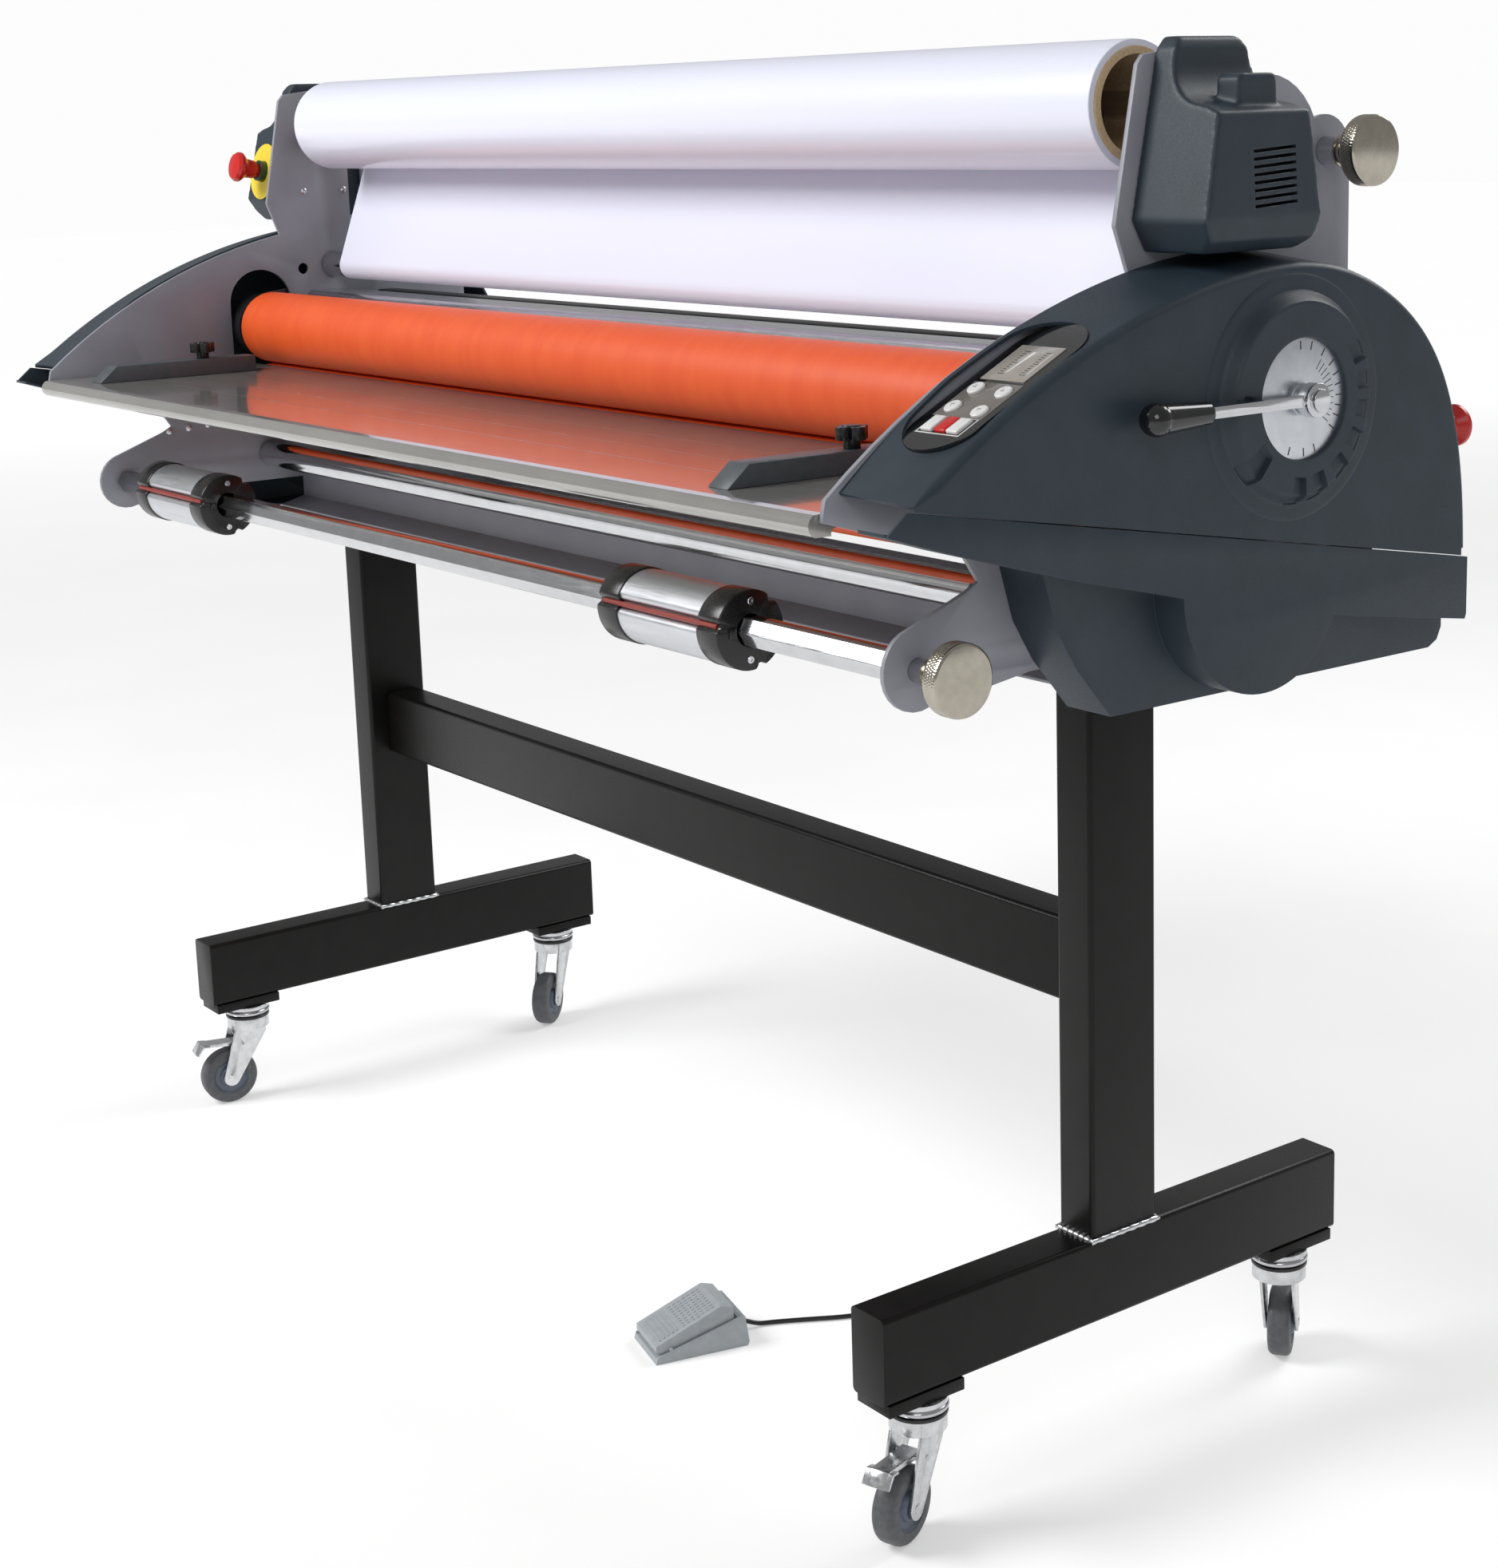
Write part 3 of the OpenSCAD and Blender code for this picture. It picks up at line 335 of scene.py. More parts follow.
# Light grey ABS with a fine texture: matt, so that the treadle reads by its shading.
pedal_plastic = finished("light_grey_abs", ("a3a9ad", "989ea2"), (8, 0.7), (0.9, 0.04), rough=(0.44, 0.58))

# Nylon wheel centre: blue grey with a faint sheen.
hub_nylon = finished("blue_grey_nylon", ("5d6674", "545c69"), (6, 0.7), (1.0, 0.02), rough=(0.34, 0.48))

print("moulded plastics: 7 finishes")

# %% [markdown]
# ### Metals
# Bare metal has its colour in its reflection. Turning, drawing and brushing leave lines, so that the grain
# is stretched along the way the tool went.

# %% Metals
# Sheet steel under clear lacquer: it mirrors what stands on it, streaked along the rolling.
table_steel = finished("clear_coated_sheet_steel", ("9c9b97", "a8a7a2"), (120, 0.8), (1.2, 0.002),
                       rough=(0.07, 0.15), grit_stretch=(0.02, 1, 1), metallic=0.5, coat_weight=0.3)

# Steel from the lathe: bright, with faint rings round the shaft that smear highlights.
turned_steel = finished("turned_steel", ("c3c3c6", "b3b3b6"), (15, 0.6), (0.7, 0.004), rough=(0.12, 0.26),
                        grit_stretch=(1, 0.05, 0.05), metallic=1.0)

# Polished bar steel: nearly a mirror, with fine lines along the bar.
polished_steel = finished("polished_hexagon_steel", ("cfd0d3", "c2c3c6"), (20, 0.5), (0.8, 0.003),
                          rough=(0.07, 0.18), grit_stretch=(0.03, 1, 1), metallic=1.0)

# Brushed steel: pale, with fine lines running one way that stretch highlights.
disc_finish = finished("brushed_steel_disc", ("cfd3d8", "c2c6cc"), (14, 0.7), (0.8, 0.006),
                       rough=(0.28, 0.42), grit_stretch=(1, 0.1, 1), metallic=1.0)

# Machined cast iron: dark grey metal with a coarse grain and almost no mirror.
cast_iron = finished("machined_cast_iron", ("56565a", "48484b"), (8, 0.8), (1.0, 0.03), rough=(0.4, 0.55),
                     metallic=1.0)

# Zinc plate: bright, with a slightly blotchy haze from the plating bath.
zinc = finished("bright_zinc_plate", ("d6d7d8", "bfc1c4"), (12, 0.8), (5, 0.02), rough=(0.16, 0.34),
                metallic=1.0)

# Nickel on brass: a warm bright plate that keeps the sparkle of a knurl.
nickel = finished("nickel_plated_brass", ("aaa498", "b7b1a5"), (10, 0.6), (1.0, 0.004), rough=(0.12, 0.24),
                  metallic=1.0)

# Turned aluminium: paler and duller than steel, with the same fine rings.
aluminium = finished("turned_aluminium", ("d2d3d6", "c6c7ca"), (20, 0.6), (0.7, 0.006), rough=(0.22, 0.36),
                     grit_stretch=(1, 0.05, 0.05), metallic=1.0)

# Polished aluminium bar: a pale near mirror with fine lines along it.
polished_aluminium = finished("polished_aluminium_bar", ("d9dadd", "cecfd2"), (40, 0.5), (0.8, 0.004),
                              rough=(0.14, 0.28), grit_stretch=(0.02, 1, 1), metallic=1.0)

# Extruded aluminium: lines from the die give a streaky sheen along the tube.
extruded_aluminium = finished("extruded_aluminium", ("d0d2d6", "c2c4c8"), (10, 0.6), (0.8, 0.012),
                              rough=(0.3, 0.45), drift_stretch=(0.1, 1, 1), grit_stretch=(0.03, 1, 1),
                              metallic=1.0)

# Anodised plate dyed yellow: an even colour with a low sheen.
yellow_plate = finished("yellow_anodised_plate", ("e8cf3a", "dfc430"), (10, 0.6), (0.8, 0.01),
                        rough=(0.32, 0.46))

print("metals: 11 finishes")

# %% [markdown]
# ### Rubber, film and board
# The soft parts are dull and the film is glossy. Wound film is many layers deep, so that it looks pale
# and solid, and it can be an opaque material.

# %% Rubber, film and board
# Silicone rubber ground on a lathe: strong orange, with fine rings round the roller.
silicone = finished("ground_silicone_rubber", ("da4f17", "e05a1f"), (18, 0.7), (0.9, 0.02),
                    rough=(0.4, 0.52), drift_stretch=(1, 0.3, 0.3), grit_stretch=(1, 0.15, 0.15))

# Rubber cord: brown red and dull.
red_cord = finished("brown_red_rubber_cord", ("8a2f24", "7a2720"), (5, 0.7), (0.8, 0.02),
                    rough=(0.38, 0.55))

# Polyurethane tread: grey and matt, slightly mottled.
tyre_rubber = finished("grey_polyurethane_tread", ("4d4e52", "5a5b5f"), (6, 0.9), (1.0, 0.04),
                       rough=(0.42, 0.6))

# Soft PVC jacket: black, with a dull highlight along the cord.
pvc_jacket = finished("black_pvc_jacket", ("0b0b0c", "141416"), (6, 0.7), (1.0, 0.02), rough=(0.36, 0.5))

# Clear film wound tight: pale blue white, with a slow ripple in its gloss.
film_gloss = finished("laminating_film", ("dfe1f0", "d9dcee"), (180, 0.4), (120, 0.015), rough=(0.27, 0.31),
                      drift_stretch=(0.3, 1, 1), grit_stretch=(0.2, 1, 1), coat_weight=0.25)

# Wound board tube: matt brown paper with small fibres.
core_board = finished("wound_core_board", ("c8b08c", "b79c78"), (3, 0.9), (0.9, 0.05), rough=(0.7, 0.85))

print("rubber, film and board: 6 finishes")

# %% [markdown]
# ### Panel finishes
# The panel is a printed sheet. Its fields are separate thin pieces with their own finish, since a printed
# picture is not needed for plain areas of colour.

# %% Panel finishes
# Printed polyester sheet over the panel: deep black under a hard gloss.
overlay = finished("glossy_polyester_overlay", ("0d0e10", "131418"), (25, 0.5), (4, 0.006),
                   rough=(0.08, 0.16), coat_weight=0.3)

# Screened window: warm grey under a clear gloss.
display_grey = finished("screened_display_window", ("9c978f", "8f8a83"), (12, 0.6), (3, 0.004),
                        rough=(0.2, 0.3), coat_weight=0.4)

# Screened ground under the keys: warm dark grey with a light gloss.
key_ground = finished("screened_key_field", ("716c67", "67625e"), (12, 0.6), (3, 0.004), rough=(0.24, 0.34),
                      coat_weight=0.3)

print("panel finishes: 3 finishes")

# %% [markdown]
# ### Floor
# The floor is the one surface that is not part of the object. Its glow is a function of the distance from
# the machine, so that the floor near the feet still shows their shadows.

# %% Floor
GLOW_FROM, GLOW_TO = (2.0, 0.36), (9.0, 0.74)
# Pale matt paint: it takes soft shadows and shows no reflection of the machine.
floor_paint = surface("pale_floor", roughness=0.8, specular_ior_level=0.1, emission_color=colour("ffffff"))
vary(floor_paint, ("d8d8d8", "d2d2d2"), 400, 0.5)
spot = add(floor_paint, "ShaderNodeTexCoord")
distance = add(floor_paint, "ShaderNodeVectorMath", {0: spot.outputs["Object"]}, operation="LENGTH")
glow = add(floor_paint, "ShaderNodeMapRange",
           {"Value": distance.outputs["Value"], "From Min": GLOW_FROM[0], "From Max": GLOW_TO[0],
            "To Min": GLOW_FROM[1], "To Max": GLOW_TO[1]})
floor_shader = floor_paint.node_tree.nodes["Principled BSDF"]
floor_paint.node_tree.links.new(glow.outputs["Result"], floor_shader.inputs["Emission Strength"])
floor.data.materials.append(floor_paint)
cord.data.materials.append(pvc_jacket)
print("floor and cord finished")

# %% [markdown]
# ### Which finish goes where
# The imported model names a material slot for each of its parts. A table from slot to finish is enough for
# all of them, and three parts whose finish is finer than their slot are set one by one after it.

# %% Finishes onto the frame's parts
FINISH_OF_SLOT = {
    "stand_black": stand_paint, "frame_grey": frame_paint, "table_steel": table_steel,
    "cover_plastic": abs_cover, "turned_steel": turned_steel, "roller_rubber": silicone,
    "cast_iron": cast_iron, "zinc_plate": zinc, "black_plastic": black_abs, "bare_aluminium": aluminium,
    "film": film_gloss, "core_board": core_board, "panel_gloss": overlay, "key_white": key_plastic,
    "button_red": red_plastic, "collar_green": black_abs, "guide_grey": guide_paint,
    "pedal_grey": pedal_plastic, "cord_black": pvc_jacket, "motor_grey": guide_paint,
    "tyre_grey": tyre_rubber}
slot_of_node = {part["node"]: part["material_slot"] for part in frame["record"]["subparts"]}
for name, node_object in nodes.items():
    node_object.data.materials.clear()
    node_object.data.materials.append(FINISH_OF_SLOT[slot_of_node[name]])
for name in ("front_idler", "rear_idler"):
    nodes[name].data.materials[0] = polished_steel
nodes["lever_grip"].data.materials[0] = overlay
print("finishes on", len(nodes), "nodes")

# %% [markdown]
# ## Building pieces
# The real pieces are turned, pushed through a die, cut from plate or moulded, and the helpers follow that. A
# profile turned about an axis becomes a knob or a ring, an outline pushed along an axis becomes a bar or a
# plate, and a grid of points becomes a moulded surface. All of it could be modelled by hand with edit tools,
# but points worked out with numpy keep each size in the script. Each mesh is merged and its normals are
# recalculated, so that it closes and faces outwards.

# %% Mesh helpers
X_AXIS = np.array([1.0, 0, 0])
WELD_MM, SLIVER_MM = 0.004, 0.002


def mesh_of(name, points, faces, weld=True):
    """A mesh from points in millimetres with its faces outwards; weld joins points that fall together."""
    mesh = bpy.data.meshes.new(name)
    mesh.from_pydata((np.asarray(points) * MM).tolist(), [], [tuple(map(int, f)) for f in faces])
    build = bmesh.new()
    build.from_mesh(mesh)
    if weld:
        bmesh.ops.remove_doubles(build, verts=build.verts, dist=WELD_MM * MM)
        bmesh.ops.dissolve_degenerate(build, edges=build.edges, dist=SLIVER_MM * MM)
    bmesh.ops.recalc_face_normals(build, faces=build.faces)
    build.to_mesh(mesh)
    build.free()
    return mesh


def piece(name, points, faces, body, finish, slot, stands_for=(), smooth=30):
    """A piece that rides on body and takes the place of the frame's nodes in stands_for."""
    mesh = mesh_of(name, points, faces)
    made = put(name, mesh)
    mesh.materials.append(finish)
    shade(mesh, smooth)
    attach(made, body)
    if stands_for:
        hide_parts(*stands_for)
    return made


def shade(mesh, smooth):
    """Smooth shading, kept sharp at edges that turn by more than smooth degrees."""
    mesh.polygons.foreach_set("use_smooth", np.ones(len(mesh.polygons), dtype=bool))
    mesh.set_sharp_from_angle(angle=math.radians(smooth))


def quads(rows, columns, wrap_rows=False, wrap_columns=False):
    """Faces of a grid whose points are numbered row by row."""
    r = np.arange(rows if wrap_rows else rows - 1)[:, None]
    c = np.arange(columns if wrap_columns else columns - 1)[None, :]
    next_r, next_c = (r + 1) % rows, (c + 1) % columns
    corners = [r * columns + c, r * columns + next_c, next_r * columns + next_c, next_r * columns + c]
    return np.stack(corners, -1).reshape(-1, 4)


def frame_of(axis):
    """Two unit vectors that stand square to axis and to each other."""
    axis = np.asarray(axis, dtype=float) / np.linalg.norm(axis)
    side = np.cross(axis, [0, 0, 1.0]) if abs(axis[2]) < 0.9 else np.array([1.0, 0, 0])
    side /= np.linalg.norm(side)
    return axis, side, np.cross(axis, side)


def turned_points(profile, centre, axis=X_AXIS, around=64, ripple=None):
    """A profile of (along, radius) turned about axis; ripple(angle, along, radius) adds to the radius."""
    axis, side, other = frame_of(axis)
    along, radius = np.asarray(profile, dtype=float).T
    angle = np.linspace(0, 2 * np.pi, around, endpoint=False)
    r = radius[:, None] + (ripple(angle[None, :], along[:, None], radius[:, None]) if ripple else 0)
    ring = np.cos(angle)[:, None] * side + np.sin(angle)[:, None] * other
    points = np.asarray(centre) + along[:, None, None] * axis + r[..., None] * ring
    return points.reshape(-1, 3), quads(len(profile), around, wrap_columns=True)


def turned(name, profile, centre, body, finish, slot, axis=X_AXIS, around=64, ripple=None, **rest):
    """A turned piece. A profile that starts and ends at radius 0 closes the piece."""
    points, faces = turned_points(profile, centre, axis, around, ripple)
    return piece(name, points, faces, body, finish, slot, **rest)


def prism_points(outline, low, high, place):
    """An outline of (u, v) pushed from low to high; place turns arrays u, v, w into points."""
    u, v = np.asarray(outline, dtype=float).T
    n = len(u)
    points = np.vstack([place(u, v, np.full(n, low)), place(u, v, np.full(n, high))])
    sides = [(i, (i + 1) % n, n + (i + 1) % n, n + i) for i in range(n)]
    return points, sides + [tuple(range(n - 1, -1, -1)), tuple(range(n, 2 * n))]


def along_x(u, v, w):
    """Places an outline drawn in (Y, Z) at X = w."""
    return np.stack([w, u, v], -1)


def merged(parts):
    """Joins several (points, faces) pairs into one."""
    points, faces, start = [], [], 0
    for p, f in parts:
        points.append(np.asarray(p))
        faces += [tuple(int(i) + start for i in face) for face in f]
        start += len(p)
    return np.vstack(points), faces


def settle(made):
    """Applies the piece's modifiers, so that its evaluated mesh is its own."""
    bpy.context.view_layer.update()
    seen = made.evaluated_get(bpy.context.evaluated_depsgraph_get())
    mesh = bpy.data.meshes.new_from_object(seen)
    made.modifiers.clear()
    made.data = mesh
    return made


EDGE_ANGLE = math.radians(30)


def rounded(made, width_mm, segments=3):
    """Rounds the piece's edges that turn by more than the edge angle, then applies it."""
    bevel = made.modifiers.new("rounded", "BEVEL")
    bevel.width = width_mm * MM
    bevel.segments = segments
    bevel.limit_method = "ANGLE"
    bevel.angle_limit = EDGE_ANGLE
    settle(made)
    shade(made.data, 40)
    return made


def cut(made, points, faces, operation="DIFFERENCE"):
    """Cuts a closed shape out of the piece, joins it on, or keeps only what both share."""
    mesh = mesh_of("cutter", points, faces, weld=False)
    cutter = put("cutter", mesh)
    tool = made.modifiers.new("cut", "BOOLEAN")
    tool.operation = operation
    tool.solver = "EXACT"
    tool.object = cutter
    settle(made)
    bpy.data.objects.remove(cutter)
    bpy.data.meshes.remove(mesh)
    return made


SOURCE_WELD_MM, FLAT_WITHIN = 0.005, math.radians(1.5)


def softened(node, width_mm, segments=3, name=None, finish=None):
    """A copy of a frame node, merged and simplified, whose edges are rounded; it stands for the node."""
    source = nodes[node]
    mesh = source.data.copy()
    build = bmesh.new()
    build.from_mesh(mesh)
    bmesh.ops.remove_doubles(build, verts=build.verts, dist=SOURCE_WELD_MM * MM)
    bmesh.ops.dissolve_limit(build, angle_limit=FLAT_WITHIN, verts=build.verts, edges=build.edges)
    build.to_mesh(mesh)
    build.free()
    made = put(name or node + "_moulded", mesh)
    mesh.materials.clear()
    mesh.materials.append(finish or FINISH_OF_SLOT[slot_of_node[node]])
    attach(made, source["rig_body"])
    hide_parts(node)
    return rounded(made, width_mm, segments)


print("helpers ready")

# %% [markdown]
# ## End covers
# The end covers are thick moulded shells. Seen from the side their top is a long curve from the nose over
# to the back, and the top surface slopes down outwards to a soft edge. A subdivided box could be pulled to
# that shape. One grid is surer, because one direction follows the side view's curve while the other crosses
# the top, turns the edge and runs down the outer wall to the parting line. The right shell also carries the
# dial and a pocket for the control panel.

# %% Cover curves
BACK_X, COVER_X = 832.3, 925.0
PARTING_Y, PARTING_Z, PARTING_SLOPE = -440.0, 1014.9, -0.1757


def arc_through(a, b, c, count):
    """Points on the circle through a, b and c, from a to c: the centre is where the bisectors meet."""
    a, b, c = (np.array(p, dtype=float) for p in (a, b, c))
    m = np.linalg.solve(2 * np.array([b - a, c - a]), [b @ b - a @ a, c @ c - a @ a])
    start, middle, end = (math.atan2(*(p - m)[::-1]) for p in (a, b, c))
    sweep, part = (end - start) % (2 * math.pi), (middle - start) % (2 * math.pi)
    turn = sweep if part <= sweep else sweep - 2 * math.pi
    t = start + turn * np.linspace(0, 1, count)
    return m + np.linalg.norm(a - m) * np.stack([np.cos(t), np.sin(t)], -1)


def parting_z(y):
    """The parting line's height: a straight slope down towards the back."""
    return PARTING_Z + PARTING_SLOPE * (y - PARTING_Y)


edge = np.vstack([arc_through((-418, 989), (-199, 1124), (45, 1181), 60),
                  arc_through((45, 1181), (150, 1156), (241, 1083), 30)[1:],
                  arc_through((241, 1083), (272, 982), (277, 889), 24)[1:]])
for _ in range(60):
    # Averaging each point with its neighbours takes the corners out of the joints between the arcs.
    edge[1:-1] = (edge[:-2] + 2 * edge[1:-1] + edge[2:]) / 4
edge = edge[edge[:, 1] > parting_z(edge[:, 0]) + 0.4]
edge_normal = np.gradient(edge, axis=0)
edge_normal = np.stack([-edge_normal[:, 1], edge_normal[:, 0]], -1)
edge_normal /= np.linalg.norm(edge_normal, axis=1)[:, None]
print("cover edge", len(edge), "points")


# %% Side covers
EDGE_RADIUS, NOSE_HEIGHT, EDGE_DROP, WALL_MM = 9, 25, 0.15, 3


def side_shell(side):
    """Top, edge and wall of a cover. Across the top its height falls in a straight line by rise, the edge
    is a quarter circle that shrinks towards the nose, and the wall runs straight down to the parting line."""
    above = edge[:, 1] - parting_z(edge[:, 0])
    share = np.linspace(0, 1, len(edge))
    front = np.clip(above / NOSE_HEIGHT, 0.05, 1)
    front[share > 0.5] = 1
    radius = EDGE_RADIUS * front
    rise = np.interp(share, [0, 0.15, 0.5, 0.8, 1], [3, 10, 7, 9, 8])
    rows = []
    for k in np.linspace(0, 1, 9):
        x = BACK_X + (COVER_X - radius - BACK_X) * k
        height = rise * (1 - k) - EDGE_DROP * radius * k
        rows.append(np.column_stack([x, edge + edge_normal * height[:, None]]))
    for t in np.radians(np.linspace(0, 90, 8)):
        x = COVER_X - radius + radius * math.sin(t)
        drop = -EDGE_DROP * radius * math.cos(t) - radius * (1 - math.cos(t))
        rows.append(np.column_stack([x, edge + edge_normal * drop[:, None]]))
    rim = rows[-1][:, 1:]
    along = np.linalg.norm(np.diff(rim, axis=0), axis=1)
    part = np.concatenate([[0], np.cumsum(along)]) / along.sum()
    foot_y = rim[0, 0] + (rim[-1, 0] - rim[0, 0]) * part
    foot = np.column_stack([foot_y, np.minimum(parting_z(foot_y), rim[:, 1])])
    for k in np.linspace(0, 1, 8)[1:]:
        rows.append(np.column_stack([np.full(len(rim), COVER_X), rim + (foot - rim) * k]))
    grid = np.stack(rows)
    grid[..., 0] *= side
    name = ("right" if side > 0 else "left") + "_side_cover"
    made = piece(name + "_shell", grid.reshape(-1, 3), quads(*grid.shape[:2]), "machine", abs_cover,
                 "cover_plastic", stands_for=[name])
    if made.data.polygons[len(made.data.polygons) // 4].normal.z < 0:
        made.data.flip_normals()
    wall = made.modifiers.new("wall", "SOLIDIFY")
    wall.thickness = WALL_MM * MM
    wall.offset = -1
    return settle(made)


right_cover = side_shell(1)
left_cover = side_shell(-1)

# The pocket for the panel is an oval cut square to the panel's face.
PANEL_AT = np.array([876.0, -262.0, 1091.0])
PANEL_TILT = math.radians(26.8)
PANEL_UP = np.array([0, -math.sin(PANEL_TILT), math.cos(PANEL_TILT)])
PANEL_ALONG = np.array([0, math.cos(PANEL_TILT), math.sin(PANEL_TILT)])


def on_panel(u, v, w):
    """Places (across, up the slope, out of the face) on the control panel."""
    u, v, w = (np.asarray(q, dtype=float)[..., None] for q in (u, v, w))
    return PANEL_AT + u * X_AXIS + v * PANEL_ALONG + w * PANEL_UP


def oval(half_width, half_length, count=20):
    """Two half circles joined by straight sides."""
    t = np.radians(np.linspace(0, 180, count))
    cap = half_length - half_width
    top = np.column_stack([half_width * np.cos(t), cap + half_width * np.sin(t)])
    return np.vstack([top, -top])


cut(right_cover, *prism_points(oval(39.4, 97.4), -3.3, 30, on_panel))
shade(right_cover.data, 35)
shade(left_cover.data, 35)
print("cover shells", len(right_cover.data.polygons), len(left_cover.data.polygons), "faces")

# %% [markdown]
# ## Lower covers
# Below the parting line the moulding is deeper and carries the bulge over the gears. The frame has its whole
# shape already, and only its edges are too sharp. So each is a copy of the frame's part with rounded edges.

# %% Lower covers
for side_name in ("left", "right"):
    softened(side_name + "_lower_cover", 2.5)
print("lower covers rounded")

# %% [markdown]
# ## Head covers
# Each head cover is a box with a high ridge beside the plate and a saddle sloping down to a shoulder. It is
# where the front view's outline and the side view's outline cross, so it is cut from one with the other. A
# bevel fails on the many short edges that such a cut leaves, so the skin is rebuilt with even small faces
# and smoothed instead. Vent slots come last, because they are narrower than the rounding.

# %% Soft edges for a solid shape
def moulded(made, step_mm, rounds):
    """Rebuilds a solid's skin with even faces, then averages each point with its neighbours, rounds times."""
    skin = made.modifiers.new("even_skin", "REMESH")
    skin.mode = "VOXEL"
    skin.voxel_size = step_mm * MM
    soft = made.modifiers.new("soft_edges", "SMOOTH")
    soft.factor = 0.5
    soft.iterations = rounds
    settle(made)
    made.data.polygons.foreach_set("use_smooth", np.ones(len(made.data.polygons), dtype=bool))
    return made


# %% Head covers
INNER_X = BACK_X + 0.3
FRONT_VIEW = np.vstack([
    [(INNER_X, 1186), (905, 1186), (919, 1197), (924, 1216), (919, 1304), (905, 1309)],
    arc_through((888, 1312), (866, 1326), (858, 1358), 9),
    [(855, 1366), (849, 1369), (INNER_X, 1369)]])
SIDE_VIEW = np.array([
    (-53, 1186), (-69, 1214), (-39, 1358), (-30, 1368.6), (42, 1368.6), (50, 1358), (62, 1308),
    (73, 1210), (68, 1192), (58, 1186)])
RAISED_BLOCK = np.array([(-14, 1290), (36, 1290), (34, 1334), (30, 1336), (-8, 1336), (-13, 1332)])
SKIN_MM, SMOOTHING_ROUNDS = 1.8, 14


def head_cover(side):
    """Front view pushed along Y, crossed with the side view pushed along X, with a small raised block."""
    name = ("right" if side > 0 else "left") + "_head_cover"
    view = FRONT_VIEW * [side, 1]
    points, faces = prism_points(view, -110, 110, lambda u, v, w: np.stack([u, w, v], -1))
    made = piece(name + "_shell", points, faces, "machine", abs_cover, "cover_plastic", stands_for=[name])
    ends = sorted([side * 820, side * 940])
    cut(made, *prism_points(SIDE_VIEW, *ends, along_x), operation="INTERSECT")
    ends = sorted([side * 880, side * 906])
    cut(made, *prism_points(RAISED_BLOCK, *ends, along_x), operation="UNION")
    return moulded(made, SKIN_MM, SMOOTHING_ROUNDS)


right_head = head_cover(1)
head_cover(-1)
FIRST_VENT_Z, VENT_STEP, VENTS = 1226, 6.6, 8
vents = [prism_points([(-10, z - 3), (42, z), (42, z + 2.8), (-10, z - 0.2)], 908, 930, along_x)
         for z in FIRST_VENT_Z + VENT_STEP * np.arange(VENTS)]
cut(right_head, *merged(vents))
print("two head covers, the right one with", VENTS, "vents and", len(right_head.data.polygons), "faces")

# %% [markdown]
# ## Dial
# The pressure lever turns in a moulded bezel: a low step, a sloping ring with pockets in its lower half,
# and a sunken silver disc with generic division marks. The pockets could be cut one by one. The bezel is a
# grid in angle and radius instead, whose height is a function of both, so that the pockets are simply places
# where the height drops and their walls keep a draught, as a moulding's do.

# %% Bezel
DIAL_Y, DIAL_Z = 37.0, 1058.0
radii = np.concatenate([[108.5, 107.8, 106.5, 104.5], np.linspace(98, 94, 4), np.linspace(93, 85.5, 7),
                        np.linspace(84.6, 56, 18), [54.5, 53.6, 53.2, 53.0]])
heights = np.interp(radii,
                    [53.0, 53.3, 54.5, 56, 83, 84.6, 85.5, 92, 94, 98, 104.5, 106.5, 107.8, 108.5],
                    [9.2, 13.2, 13.9, 14, 14, 13.6, 12.6, 3.4, 2, 1.5, 1.5, 1.1, 0.4, -0.6])
angles = np.radians(np.linspace(0, 360, 361)[:-1])
# Each pocket is its middle angle, its half width in degrees and the radius where it starts.
POCKETS = [(62, 7, 68), (82, 6, 68), (101, 6, 68), (122, 7, 68), (144, 7, 68), (165, 6, 68), (184, 6, 68),
           (228, 8, 62), (272, 4.5, 61)]
dip = np.zeros((len(radii), len(angles)))
for middle, half, inner in POCKETS:
    turn = np.abs((np.degrees(angles) - middle + 180) % 360 - 180)
    across = np.clip((half - turn) / 0.9, 0, 1)
    deep = np.clip((radii - inner) / 1.2, 0, 1) * np.clip(((76 if inner < 62 else 92.5) - radii) / 1.2, 0, 1)
    dip = np.maximum(dip, across[None, :] * deep[:, None])
height = np.maximum(heights[:, None] - 5 * dip, np.minimum(heights[:, None], 2.0))
bezel_y = DIAL_Y + radii[:, None] * np.sin(angles)
bezel_z = DIAL_Z + radii[:, None] * np.cos(angles)
bezel = np.stack([COVER_X + height, bezel_y, bezel_z], -1)
piece("dial_bezel", bezel.reshape(-1, 3), quads(*bezel.shape[:2], wrap_columns=True), "machine", abs_cover,
      "cover_plastic", smooth=25)
print("bezel with", len(POCKETS), "pockets")


# %% Dial disc and marks
def dial_mark(angle, inner, outer, width, low, high):
    """A thin bar that points at the dial's middle."""
    s, c = math.sin(math.radians(angle)), math.cos(math.radians(angle))
    flat = [(inner, -width / 2), (outer, -width / 2), (outer, width / 2), (inner, width / 2)]
    outline = [(DIAL_Y + r * s + q * c, DIAL_Z + r * c - q * s) for r, q in flat]
    return prism_points(outline, low, high, along_x)


disc_x = COVER_X + 9.0
turned("dial_disc", [(0, 0), (0, 53.0), (1.0, 53.2), (1.2, 52.6), (1.2, 14.0), (3.0, 13.4), (3.0, 0)],
       (disc_x, DIAL_Y, DIAL_Z), "machine", disc_finish, "zinc_plate", around=96)
marks = [dial_mark(a, 43, 50.5, 1.1, disc_x + 1.0, disc_x + 1.4)
         for a in (-3, 14, 34, 52, 66, 78, 90, 101, 112, 126, 160, 177, 200)]
marks += [dial_mark(a, 30, 40, 0.7, disc_x + 1.0, disc_x + 1.3) for a in range(36, 130, 8)]
piece("dial_marks", *merged(marks), "machine", black_abs, "black_plastic", smooth=10)
print("dial with", len(marks), "marks")

